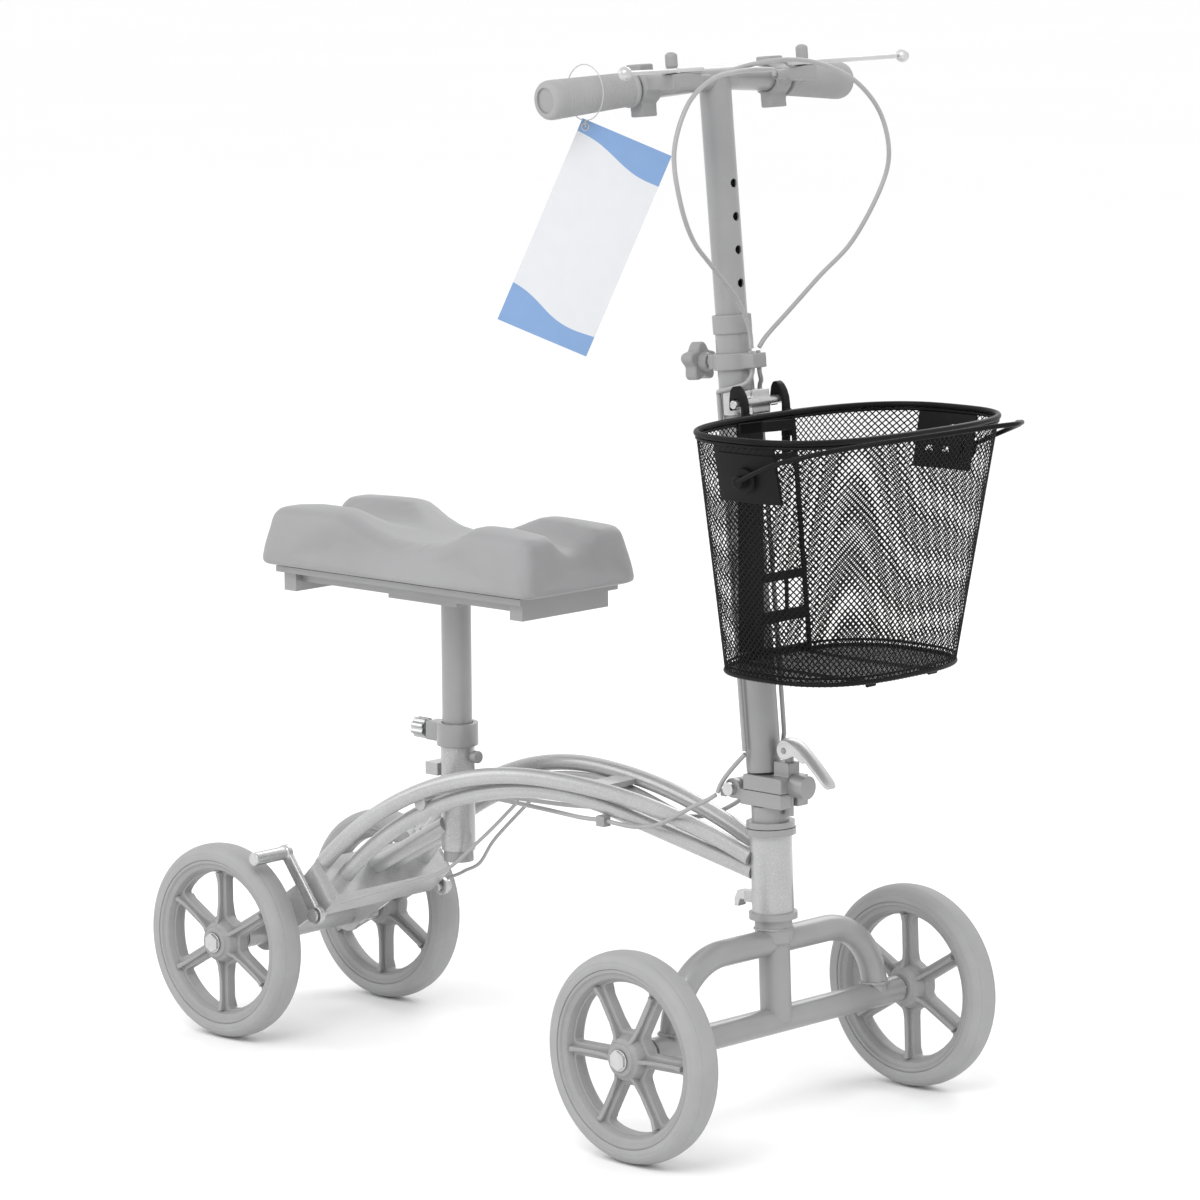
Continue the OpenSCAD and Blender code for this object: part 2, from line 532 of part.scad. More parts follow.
// ---------- basket ----------
basket_x0 = 602;
rim_x = basket_x0 + 93;
base_x = 605 + base_a;
module slab(cx, a, b, z, h) { translate([cx, 0, z]) linear_extrude(h) polygon([for (i = [0 : 55]) let (q = ringp(a, b, 0, 360 * (i + 0.5) / 56)) [q[0], q[1]]]); }
module basket_shell() color(black) world() {
  difference() {
    hull() { slab(base_x, base_a, base_b, base_z, 0.5); slab(rim_x, rim_a - 1, rim_b - 1, rim_z - 1.5, 0.5); }
    hull() { slab(base_x, base_a - 2, base_b - 2, base_z + 2, 0.5); slab(rim_x, rim_a - 3, rim_b - 3, rim_z, 0.5); }
  }
  ring_tube(rim_x, rim_a - 1.8, rim_b - 1.8, rim_z + 2.3, 3.2);
}
module basket_hooks() color(black) world() {
  difference() {
    union() {
      for (s = [-1, 1]) translate([0, s * 27.5 - 7.5, 0]) rotate([90, 0, 0]) mirror([0, 0, 1]) linear_extrude(15)
        difference() {
          union() { translate([591.5, 654.8]) circle(r = 8.5, $fn = 48); translate([595, 600]) square([5, 53]); translate([582.8, 646]) square([4, 7]); }
          translate([591.5, 654.8]) circle(r = 4.5, $fn = 48);
          translate([587, 599]) square([9, 55.8]);
        }
      translate([598, -36, 600]) cube([3, 72, 36]);
    }
  }
}
bail_side = [[705, 159, 609], [722, 160, 617.2], [747, 158.8, 627.6], [770.6, 144, 635.1], [792, 113, 641], [822, 81, 647], [848, 48, 652], [868, 22, 656]];
bail_path = concat(bail_side, [[878.4, 0, 657.5]], [for (i = [len(bail_side) - 1 : -1 : 0]) [bail_side[i][0], -bail_side[i][1], bail_side[i][2]]]);
module basket_bail() color(black) world() {
  sweep(smooth(bail_path, 3), 2.6);
  both() translate([705, 155, 609]) rod_y(5.5, 0, 6);
}
module steer_lock() color(silver) on_steer() {
  difference() {
    union() {
      translate([-25, -5, 112]) rod_y(4.5, 0, 10);
      rotate([90, 0, 0]) translate([0, 0, -5]) linear_extrude(10) polygon([[-25, 116.5], [-38, 116], [-42, 108], [-42, 101], [-37, 101], [-35, 108], [-25, 108]]);
    }
    translate([-25, -6, 112]) rod_y(2.05, 0, 12);
  }
}
module lock_lug() { on_steer() difference() { union() { both() translate([-27, 5.4, 107]) cube([11, 3, 10]); translate([-25, -8.4, 112]) rod_y(2, 0, 16.8); } cylinder(r = 19, h = 200); } }
tag_pos = [522.3, -150, 932.6];
module hang_tag() color(card) world() {
  translate([tag_pos[0], tag_pos[1], 903]) rotate([0, 0, 42.9]) rotate([0, 23.4, 0]) translate([-5, -0.4, -184]) difference() {
    cube([84, 0.8, 190]);
    translate([5, -1, 184]) rod_y(2.2, 0, 3);
  }
  translate(tag_pos) rotate([90, 0, -6.2]) rotate_extrude($fn = 64) translate([24.2, 0]) circle(r = 0.9, $fn = 16);
  rod([tag_pos[0], tag_pos[1] , 908.4], [tag_pos[0] + 0.2, tag_pos[1] - 0.2, 902], 0.9);
}

arch_upper();
arch_lower();
frame_ties();
union() { head_tube(); color(frame_grey) lock_lug(); }
headset_cups();
seat_tube();
seat_collar();
seat_struts();
rear_yoke();
rear_axle_tube();
frame_bolts();
cable_stops();
fork_beam();
fork_arch();
fork_post();
steerer_tube();
neck_nut();
hinge_lower_block();
front_axle_bolts();
hinge_upper_block();
hinge_pin();
column_sleeve();
column_collar();
basket_bracket();
union() { latch_rod(); color(silver) latch_eye(); }
cable_column_runs();
upper_tube();
handlebar_tube();
grips();
union() { lever_clamps(); color(silver) lever_bolts(); }
brake_lever_left();
brake_lever_right();
cable_loops();
cable_hinge_runs();
cable_steer_runs();
cable_frame_runs();
brake_arm_left();
brake_arm_right();
fold_lever();
height_knob();
seat_post();
seat_base();
seat_cushion();
seat_knob();
rim_front_left();
tyre_front_left();
rim_front_right();
tyre_front_right();
rim_rear_left();
tyre_rear_left();
rim_rear_right();
tyre_rear_right();
front_bushings();
rear_bushings();
basket_shell();
basket_hooks();
basket_bail();
steer_lock();
hang_tag();
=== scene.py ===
import bpy, bmesh, math
import numpy as np
from mathutils import Matrix, Vector


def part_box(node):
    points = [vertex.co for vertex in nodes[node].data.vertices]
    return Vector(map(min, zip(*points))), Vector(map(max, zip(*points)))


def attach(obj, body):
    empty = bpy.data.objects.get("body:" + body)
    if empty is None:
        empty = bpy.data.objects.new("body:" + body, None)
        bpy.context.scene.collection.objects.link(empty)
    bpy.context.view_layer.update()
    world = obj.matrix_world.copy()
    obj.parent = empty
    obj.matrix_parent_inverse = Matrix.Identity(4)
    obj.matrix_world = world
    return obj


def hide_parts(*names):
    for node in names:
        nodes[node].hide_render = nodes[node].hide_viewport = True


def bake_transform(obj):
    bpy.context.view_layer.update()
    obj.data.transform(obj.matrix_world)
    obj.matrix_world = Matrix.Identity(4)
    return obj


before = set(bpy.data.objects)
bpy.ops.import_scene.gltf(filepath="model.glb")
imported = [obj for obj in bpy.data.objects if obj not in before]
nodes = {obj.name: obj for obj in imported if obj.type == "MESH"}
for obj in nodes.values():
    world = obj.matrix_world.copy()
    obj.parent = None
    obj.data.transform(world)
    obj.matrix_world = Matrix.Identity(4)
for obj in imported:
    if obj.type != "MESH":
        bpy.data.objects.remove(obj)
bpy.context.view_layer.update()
scene = bpy.context.scene
SX = -393.0                     # mm, rear axle to the row origin
rad = math.radians


# ---------- frames of reference (millimetres in, metres out) ----------
def W(x, y, z):
    return np.array([(x + SX) / 1000, y / 1000, z / 1000])


def steer(x, y, z):
    a = rad(2.0)
    return W(610 + x * math.cos(a) - z * math.sin(a), y, 95 + x * math.sin(a) + z * math.cos(a))


def fork(x, y, z):
    s = rad(-2.0)
    return steer(x * math.cos(s) - y * math.sin(s), x * math.sin(s) + y * math.cos(s), z)


def col(x, y, z):
    a = rad(5.3)
    return W(596 + x * math.cos(a) - z * math.sin(a), y, 325 + x * math.sin(a) + z * math.cos(a))


def place(f, pts):
    return [tuple(f(*p)) for p in pts]


# ---------- mesh helpers ----------
def make(name, verts, faces, mat, body=None, replaces=(), smooth=True, angle=40):
    me = bpy.data.meshes.new(name)
    me.from_pydata([tuple(map(float, v)) for v in verts], [], [tuple(int(i) for i in f) for f in faces])
    me.validate()
    bm = bmesh.new()
    bm.from_mesh(me)
    bmesh.ops.recalc_face_normals(bm, faces=bm.faces)
    for f in bm.faces:
        f.smooth = smooth
    if smooth and angle < 180:
        for e in bm.edges:
            if len(e.link_faces) == 2 and e.calc_face_angle(0) > rad(angle):
                e.smooth = False
    bm.to_mesh(me)
    bm.free()
    me.materials.append(mat)
    ob = bpy.data.objects.new(name, me)
    scene.collection.objects.link(ob)
    if body:
        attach(ob, body)
    if replaces:
        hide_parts(*replaces)
    return ob


def cr(p, i, t):
    n = len(p)
    a, b, c, d = p[max(i - 1, 0)], p[i], p[i + 1], p[min(i + 2, n - 1)]
    return 0.5 * (2 * b + (c - a) * t + (2 * a - 5 * b + 4 * c - d) * t * t + (3 * b - a - 3 * c + d) * t ** 3)


def smooth_path(p, k):
    p = [np.array(q, float) for q in p]
    out = [cr(p, i, j / k) for i in range(len(p) - 1) for j in range(k)]
    return out + [p[-1]]


def tube_geo(pts, r, m=12, closed=False, cap=True, ry=None, up=None):
    """Tube along pts with parallel-transported rings. r is a number or one per point; ry flattens it."""
    pts = [np.array(p, float) for p in pts]
    n = len(pts)
    V, F = [], []
    tang = []
    for i in range(n):
        a = pts[(i - 1) % n] if closed else pts[max(i - 1, 0)]
        b = pts[(i + 1) % n] if closed else pts[min(i + 1, n - 1)]
        t = b - a
        tang.append(t / np.linalg.norm(t))
    s = None
    for i in range(n):
        t = tang[i]
        if up is not None:
            s = np.cross(t, up)
        elif s is None:
            s = np.cross(t, [0, 0, 1] if abs(t[2]) < 0.9 else [0, 1, 0])
        else:
            s = s - t * np.dot(s, t)
        s = s / np.linalg.norm(s)
        u = np.cross(t, s)
        rr = r[i] if hasattr(r, "__len__") else r
        rv = rr if ry is None else (ry[i] if hasattr(ry, "__len__") else ry)
        for j in range(m):
            an = 2 * math.pi * (j + (0.5 if m == 4 else 0)) / m
            V.append(pts[i] + rr * math.cos(an) * s + rv * math.sin(an) * u)
    last = n if closed else n - 1
    for i in range(last):
        k = (i + 1) % n
        for j in range(m):
            l = (j + 1) % m
            F.append((i * m + j, i * m + l, k * m + l, k * m + j))
    if cap and not closed:
        F.append(tuple(range(m))[::-1])
        F.append(tuple((n - 1) * m + j for j in range(m)))
    return V, F


def join_geo(parts):
    V, F = [], []
    for v, f in parts:
        o = len(V)
        V += list(v)
        F += [tuple(i + o for i in q) for q in f]
    return V, F


def revolve_geo(profile, m, fn, closed=True):
    """profile: (radius, along) pairs in mm, revolved; fn(radius*cos, along, radius*sin) gives metres."""
    n = len(profile)
    V = []
    for j in range(m):
        a = 2 * math.pi * j / m
        for (r, h) in profile:
            V.append(fn(r * math.cos(a), h, r * math.sin(a)))
    F = []
    seg = n if closed else n - 1
    for j in range(m):
        k = (j + 1) % m
        for i in range(seg):
            l = (i + 1) % n
            F.append((j * n + i, j * n + l, k * n + l, k * n + i))
    if not closed:
        F.append(tuple(j * n for j in range(m)))
        F.append(tuple(j * n + n - 1 for j in range(m))[::-1])
    return V, F


def rounded(profile, r, steps=4):
    """Rounds the corners of a closed 2-D outline by r (number or list)."""
    out = []
    n = len(profile)
    for i in range(n):
        p0, p1, p2 = (np.array(profile[(i + k - 1) % n], float) for k in range(3))
        rr = r[i] if hasattr(r, "__len__") else r
        a, b = p0 - p1, p2 - p1
        la, lb = np.linalg.norm(a), np.linalg.norm(b)
        rr = min(rr, la * 0.45, lb * 0.45)
        if rr <= 0:
            out.append(tuple(p1))
            continue
        qa, qb = p1 + a / la * rr, p1 + b / lb * rr
        for k in range(steps + 1):
            t = k / steps
            q = (1 - t) ** 2 * qa + 2 * t * (1 - t) * p1 + t * t * qb
            out.append(tuple(q))
    return out


def curve_plate(name, loops, half, bevel, fn, res=3):
    """Flat plate with holes and bevelled rims from closed 2-D loops (mm); fn maps (u, v, w) in mm to metres."""
    cu = bpy.data.curves.new(name + "_c", "CURVE")
    cu.dimensions = "2D"
    cu.fill_mode = "BOTH"
    cu.extrude = max(half - bevel, 0.01)
    cu.bevel_depth = bevel
    cu.bevel_resolution = res
    cu.offset = -bevel
    for loop in loops:
        sp = cu.splines.new("POLY")
        sp.points.add(len(loop) - 1)
        for i, (x, y) in enumerate(loop):
            sp.points[i].co = (x, y, 0, 1)
        sp.use_cyclic_u = True
    ob = bpy.data.objects.new(name + "_c", cu)
    scene.collection.objects.link(ob)
    dg = bpy.context.evaluated_depsgraph_get()
    me = bpy.data.meshes.new_from_object(ob.evaluated_get(dg))
    V = [fn(*v.co) for v in me.vertices]
    F = [tuple(p.vertices) for p in me.polygons]
    bpy.data.objects.remove(ob)
    bpy.data.curves.remove(cu)
    bpy.data.meshes.remove(me)
    # weld the doubled seam rows
    bm = bmesh.new()
    vs = [bm.verts.new(tuple(v)) for v in V]
    for f in F:
        try:
            bm.faces.new([vs[i] for i in f])
        except ValueError:
            pass
    bmesh.ops.remove_doubles(bm, verts=bm.verts, dist=2e-6)
    bm.verts.index_update()
    V = [np.array(v.co) for v in bm.verts]
    F = [tuple(v.index for v in f.verts) for f in bm.faces]
    bm.free()
    return V, F


# ---------- materials ----------
def node(nt, kind, **kw):
    n = nt.nodes.new(kind)
    for k, v in kw.items():
        setattr(n, k, v)
    return n


def material(name, c1, c2, rough=(0.35, 0.5), metal=0.0, grain=120.0, grain_bump=0.15, bump_dist=0.0002,
             cloud=14.0, coat=0.0, coat_rough=0.2, spec=0.5, stretch=(1, 1, 1), speck=None, ridges=None, sheen=0.0,
             pits=False):
    m = bpy.data.materials.new(name)
    m.use_nodes = True
    nt = m.node_tree
    nt.nodes.clear()
    out = node(nt, "ShaderNodeOutputMaterial")
    b = node(nt, "ShaderNodeBsdfPrincipled")
    nt.links.new(b.outputs[0], out.inputs[0])
    b.inputs["Metallic"].default_value = metal
    b.inputs["Specular IOR Level"].default_value = spec
    b.inputs["Coat Weight"].default_value = coat
    b.inputs["Coat Roughness"].default_value = coat_rough
    if sheen:
        b.inputs["Sheen Weight"].default_value = sheen
        b.inputs["Sheen Roughness"].default_value = 0.5
    tc = node(nt, "ShaderNodeTexCoord")
    mp = node(nt, "ShaderNodeMapping")
    mp.inputs["Scale"].default_value = stretch
    nt.links.new(tc.outputs["Object"], mp.inputs["Vector"])
    n1 = node(nt, "ShaderNodeTexNoise")
    n1.inputs["Scale"].default_value = cloud
    n1.inputs["Detail"].default_value = 5
    n1.inputs["Roughness"].default_value = 0.6
    nt.links.new(mp.outputs[0], n1.inputs["Vector"])
    n2 = node(nt, "ShaderNodeTexNoise")
    n2.inputs["Scale"].default_value = grain
    n2.inputs["Detail"].default_value = 4
    nt.links.new(mp.outputs[0], n2.inputs["Vector"])
    ramp = node(nt, "ShaderNodeValToRGB")
    ramp.color_ramp.elements[0].position = 0.3
    ramp.color_ramp.elements[1].position = 0.7
    ramp.color_ramp.elements[0].color = (*c1, 1)
    ramp.color_ramp.elements[1].color = (*c2, 1)
    nt.links.new(n1.outputs["Fac"], ramp.inputs[0])
    colour = ramp.outputs[0]
    if speck:
        sp = node(nt, "ShaderNodeTexNoise")
        sp.inputs["Scale"].default_value = speck[0]
        sp.inputs["Detail"].default_value = 2
        nt.links.new(tc.outputs["Object"], sp.inputs["Vector"])
        sr = node(nt, "ShaderNodeValToRGB")
        sr.color_ramp.elements[0].position = speck[1]
        sr.color_ramp.elements[0].color = (0, 0, 0, 1)
        sr.color_ramp.elements[1].position = min(speck[1] + 0.1, 1)
        sr.color_ramp.elements[1].color = (1, 1, 1, 1)
        nt.links.new(sp.outputs["Fac"], sr.inputs[0])
        mx = node(nt, "ShaderNodeMix", data_type="RGBA")
        nt.links.new(sr.outputs[0], mx.inputs[0])
        nt.links.new(colour, mx.inputs[6])
        mx.inputs[7].default_value = (*speck[2], 1)
        colour = mx.outputs[2]
    nt.links.new(colour, b.inputs["Base Color"])
    rr = node(nt, "ShaderNodeMapRange")
    rr.inputs["From Min"].default_value = 0.3
    rr.inputs["From Max"].default_value = 0.7
    rr.inputs["To Min"].default_value = rough[0]
    rr.inputs["To Max"].default_value = rough[1]
    nt.links.new(n1.outputs["Fac"], rr.inputs["Value"])
    nt.links.new(rr.outputs[0], b.inputs["Roughness"])
    height = n2.outputs["Fac"]
    if pits:
        vo = node(nt, "ShaderNodeTexVoronoi")
        vo.inputs["Scale"].default_value = grain
        nt.links.new(mp.outputs[0], vo.inputs["Vector"])
        height = vo.outputs["Distance"]
    bp = node(nt, "ShaderNodeBump")
    bp.inputs["Strength"].default_value = grain_bump
    bp.inputs["Distance"].default_value = bump_dist
    nt.links.new(height, bp.inputs["Height"])
    nt.links.new(bp.outputs[0], b.inputs["Normal"])
    return m


G = lambda v, t=1.0: (v, v, v * t)
M_FRAME = material("frame_enamel", G(0.345), G(0.41, 1.01), rough=(0.26, 0.36), metal=0.3, grain=900, grain_bump=0.08,
                   coat=0.6, coat_rough=0.12, speck=(1400, 0.56, G(0.53)))
M_DARK = material("column_enamel", G(0.255), G(0.295, 1.01), rough=(0.3, 0.42), metal=0.15, grain=700, grain_bump=0.08,
                  coat=0.4, coat_rough=0.16)
M_ZINC = material("zinc_plate", G(0.44), G(0.57, 1.01), rough=(0.22, 0.36), metal=0.85, grain=600, grain_bump=0.1, cloud=60)
M_ALLOY = material("brushed_alloy", G(0.48), G(0.58), rough=(0.26, 0.4), metal=0.6, grain=500, grain_bump=0.12,
                   cloud=40, stretch=(1, 0.25, 1))
M_PLAST = material("moulded_plastic", G(0.255), G(0.295), rough=(0.46, 0.6), grain=1500, grain_bump=0.25, bump_dist=0.0001)
M_RIM = material("glass_nylon", G(0.265), G(0.30), rough=(0.42, 0.56), grain=1300, grain_bump=0.22, bump_dist=0.0001,
                 speck=(900, 0.66, G(0.46)))
M_TYRE = material("tyre_tread", G(0.295), G(0.335, 1.01), rough=(0.5, 0.66), grain=1100, grain_bump=0.3, bump_dist=0.00012,
                  cloud=22)
M_GRIP = material("grip_foam", G(0.285), G(0.325), rough=(0.62, 0.78), grain=1700, grain_bump=0.45, bump_dist=0.00015,
                  pits=True)
M_CABLE = material("cable_housing", G(0.30), G(0.36), rough=(0.34, 0.48), grain=900, grain_bump=0.1)
M_VINYL = material("foam_skin", G(0.245, 1.015), G(0.28, 1.02), rough=(0.46, 0.58), grain=1150, grain_bump=0.4,
                   bump_dist=0.00018, cloud=9, pits=True, sheen=0.08)
M_BLACK = material("black_powder_coat", G(0.004), G(0.009, 1.1), rough=(0.34, 0.5), spec=0.12, grain=1600, grain_bump=0.3,
                   bump_dist=0.00008, speck=(1500, 0.72, G(0.03)))
M_BLKPL = material("black_plastic", G(0.005), G(0.010, 1.1), rough=(0.36, 0.52), spec=0.12, grain=1400, grain_bump=0.25,
                   bump_dist=0.00008)
M_BUSH = material("ground_steel", G(0.55), G(0.66), rough=(0.2, 0.3), metal=0.9, grain=400, grain_bump=0.08, cloud=80)


def card_material(origin, across, up):
    """Pale card with two plain blue wave bands; origin, across and up are in the row frame."""
    m = bpy.data.materials.new("hang_card")
    m.use_nodes = True
    nt = m.node_tree
    nt.nodes.clear()
    out = node(nt, "ShaderNodeOutputMaterial")
    b = node(nt, "ShaderNodeBsdfPrincipled")
    nt.links.new(b.outputs[0], out.inputs[0])
    b.inputs["Roughness"].default_value = 0.3
    b.inputs["Coat Weight"].default_value = 0.3
    tc = node(nt, "ShaderNodeTexCoord")
    sub = node(nt, "ShaderNodeVectorMath", operation="SUBTRACT")
    nt.links.new(tc.outputs["Object"], sub.inputs[0])
    sub.inputs[1].default_value = tuple(origin)

    def dot(v):
        d = node(nt, "ShaderNodeVectorMath", operation="DOT_PRODUCT")
        nt.links.new(sub.outputs[0], d.inputs[0])
        d.inputs[1].default_value = tuple(v)
        return d.outputs["Value"]

    def op(kind, a, c):
        n = node(nt, "ShaderNodeMath", operation=kind)
        for i, x in enumerate((a, c)):
            if isinstance(x, (int, float)):
                n.inputs[i].default_value = x
            else:
                nt.links.new(x, n.inputs[i])
        return n.outputs[0]

    s, t = dot(across), dot(up)                     # 0..1 across, 0..1 up

    def edge(levels):
        """Height of a band's edge, read off a smooth ramp across the card."""
        r = node(nt, "ShaderNodeValToRGB")
        r.color_ramp.interpolation = "B_SPLINE"
        els = r.color_ramp.elements
        while len(els) < len(levels):
            els.new(0.5)
        for i, v in enumerate(levels):
            els[i].position = i / (len(levels) - 1)
        for i, v in enumerate(levels):
            els[i].color = (v, v, v, 1)
        nt.links.new(s, r.inputs[0])
        return r.outputs[0]

    top = op("GREATER_THAN", t, edge((0.940, 0.930, 0.885, 0.845, 0.848)))
    low = op("LESS_THAN", t, edge((0.190, 0.165, 0.105, 0.085, 0.100)))
    band = op("MAXIMUM", top, low)
    n1 = node(nt, "ShaderNodeTexNoise")
    n1.inputs["Scale"].default_value = 60
    n1.inputs["Detail"].default_value = 6
    nt.links.new(tc.outputs["Object"], n1.inputs["Vector"])
    base = node(nt, "ShaderNodeValToRGB")
    base.color_ramp.elements[0].color = (0.575, 0.590, 0.615, 1)
    base.color_ramp.elements[1].color = (0.615, 0.625, 0.645, 1)
    nt.links.new(n1.outputs["Fac"], base.inputs[0])
    blue = node(nt, "ShaderNodeValToRGB")
    blue.color_ramp.elements[0].color = (0.155, 0.270, 0.485, 1)
    blue.color_ramp.elements[1].color = (0.185, 0.305, 0.525, 1)
    nt.links.new(n1.outputs["Fac"], blue.inputs[0])
    mx = node(nt, "ShaderNodeMix", data_type="RGBA")
    nt.links.new(band, mx.inputs[0])
    nt.links.new(base.outputs[0], mx.inputs[6])
    nt.links.new(blue.outputs[0], mx.inputs[7])
    nt.links.new(mx.outputs[2], b.inputs["Base Color"])
    fib = node(nt, "ShaderNodeTexNoise")
    fib.inputs["Scale"].default_value = 700
    nt.links.new(tc.outputs["Object"], fib.inputs["Vector"])
    bp = node(nt, "ShaderNodeBump")
    bp.inputs["Strength"].default_value = 0.12
    bp.inputs["Distance"].default_value = 0.0001
    nt.links.new(fib.outputs["Fac"], bp.inputs["Height"])
    nt.links.new(bp.outputs[0], b.inputs["Normal"])
    return m


# ---------- carried-over CAD nodes get their materials ----------
KEEP = {
    M_FRAME: ["frame_ties", "head_tube", "seat_tube", "seat_struts", "rear_yoke", "rear_axle_tube"],
    M_DARK: ["headset_cups", "fork_beam", "fork_arch", "fork_post", "steerer_tube", "neck_nut",
             "column_sleeve", "upper_tube", "handlebar_tube", "seat_post", "seat_base", "latch_rod"],
    M_ZINC: ["frame_bolts", "front_axle_bolts", "hinge_pin"],
    M_PLAST: ["cable_stops"],
    M_BUSH: ["front_bushings", "rear_bushings"],
}
for m, names in KEEP.items():
    for n in names:
        ob = nodes[n]
        if not ob.material_slots:
            ob.data.materials.append(m)
        for s in ob.material_slots:
            s.link = "OBJECT"
            s.material = m


# ---------- cast and pressed pieces: the CAD shape with its edges worn round ----------
def soften(name, mat, body, voxel=0.0007, passes=5):
    src = nodes[name]
    mw = src.matrix_world
    me = src.data
    ob = make(name + "_cast", [mw @ v.co for v in me.vertices], [tuple(p.vertices) for p in me.polygons], mat, angle=180)
    bpy.context.view_layer.objects.active = ob
    md = ob.modifiers.new("remesh", "REMESH")
    md.mode = "VOXEL"
    md.voxel_size = voxel
    md.use_smooth_shade = True
    bpy.ops.object.modifier_apply(modifier=md.name)
    md = ob.modifiers.new("smooth", "SMOOTH")
    md.factor = 0.5
    md.iterations = passes
    bpy.ops.object.modifier_apply(modifier=md.name)
    for q in ob.data.polygons:
        q.use_smooth = True
    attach(ob, body)
    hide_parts(name)
    return ob


soften("hinge_lower_block", M_DARK, "fork", passes=8)
soften("hinge_upper_block", M_DARK, "column", passes=8)
soften("seat_collar", M_DARK, "frame")
soften("column_collar", M_PLAST, "column")
soften("basket_bracket", M_ZINC, "column", voxel=0.0008)
soften("brake_arm_left", M_ZINC, "brake_left", voxel=0.0008)
soften("brake_arm_right", M_ZINC, "brake_right", voxel=0.0008)
soften("steer_lock", M_ZINC, "steering_lock", voxel=0.0005)
soften("seat_knob", M_ZINC, "seat_lock", voxel=0.0005, passes=4)
soften("lever_clamps", M_PLAST, "handlebar", voxel=0.0008, passes=14)

# ---------- arched frame tubes, smooth, with weld beads ----------
ARCH_TOP = 290.0


def arch_line(kind):
    if kind == "upper":
        pts = [(-236.4 + 636 * math.cos(rad(t)), ARCH_TOP - 636 + 636 * math.sin(rad(t))) for t in np.arange(66.4, 90, 0.8)]
        pts += [(-236.4 + 362 * math.cos(rad(t)), ARCH_TOP - 362 + 362 * math.sin(rad(t))) for t in np.arange(90, 138.1, 1.2)]
        x0, y0, slope = 590, 13, 0.11
    else:
        top = ARCH_TOP - 13.5
        c, s = math.cos(rad(13.3)), math.sin(rad(13.3))
        ex, ez = -226 + 300 * math.cos(rad(76.7)), top - 300 + 300 * math.sin(rad(76.7))
        pts = [(ex + d * c, ez - d * s) for d in (163, 150, 120, 80, 40, 12)]
        pts += [(-226 + 300 * math.cos(rad(t)), top - 300 + 300 * math.sin(rad(t))) for t in np.arange(77.5, 89.9, 1.4)]
        pts += [(-226 + 352 * math.cos(rad(t)), top - 352 + 352 * math.sin(rad(t))) for t in np.arange(90, 141.3, 1.3)]
        x0, y0, slope = 590, 9, 0.09
    a = -math.atan(slope)
    out = []
    for (l, z) in pts:
        x = x0 + l * math.cos(a)
        y = y0 + l * math.sin(a)
        out.append((x, y, z))
    return out


def in_box(x, z):
    dx, dz = x - 97, z - 155
    u = (dx - dz) * math.sqrt(0.5)
    w = (dx + dz) * math.sqrt(0.5)
    return abs(u) < 17.5 and abs(w) < 13.5


for kind in ("upper", "lower"):
    line = arch_line(kind)
    i0 = next(i for i, p in enumerate(line) if p[0] < 591.5)
    if i0:
        a_, b_ = np.array(line[i0 - 1]), np.array(line[i0])
        line = [tuple(b_ + (a_ - b_) * (591.5 - b_[0]) / (a_[0] - b_[0]))] + line[i0:]
    line = [p for p in line if not in_box(p[0], p[2])]
    # stop inside the rear box
    keep = []
    for p in line:
        keep.append(p)
        if p[2] < 175 and p[0] < 130 and (abs(p[0] - 97) < 17 and abs(p[2] - 155) < 17):
            break
    parts = []
    for sy in (1, -1):
        pts = [W(x, sy * y, z) for (x, y, z) in keep]
        parts.append(tube_geo(pts, 0.0078, 28))
    V, F = join_geo(parts)
    make("arch_tubes_" + kind, V, F, M_FRAME, "frame", ["arch_" + kind])


def bead(name, centre, normal, r, body, mat, wob=0.0004, thick=0.0016):
    n = np.array(normal, float)
    n /= np.linalg.norm(n)
    s = np.cross(n, [0, 1, 0] if abs(n[1]) < 0.9 else [1, 0, 0])
    s /= np.linalg.norm(s)
    u = np.cross(n, s)
    k = 72
    pts = [np.array(centre) + (r + wob * math.sin(9 * 2 * math.pi * i / k)) * (math.cos(2 * math.pi * i / k) * s + math.sin(2 * math.pi * i / k) * u)
           for i in range(k)]
    V, F = tube_geo(pts, [thick * (1 + 0.18 * math.sin(24 * 2 * math.pi * i / k)) for i in range(k)], 8, closed=True)
    return V, F


beads = []
for sy in (1, -1):
    beads.append(bead("b", fork(0, sy * 133, 11.9), np.array(fork(0, 0, 1)) - np.array(fork(0, 0, 0)), 0.0123, "fork", M_DARK))
V, F = join_geo(beads + [bead("b", fork(0, 0, 85.2), np.array(fork(0, 0, 1)) - np.array(fork(0, 0, 0)), 0.0169, "fork", M_DARK, thick=0.0012)])
make("fork_weld_beads", V, F, M_DARK, "fork")


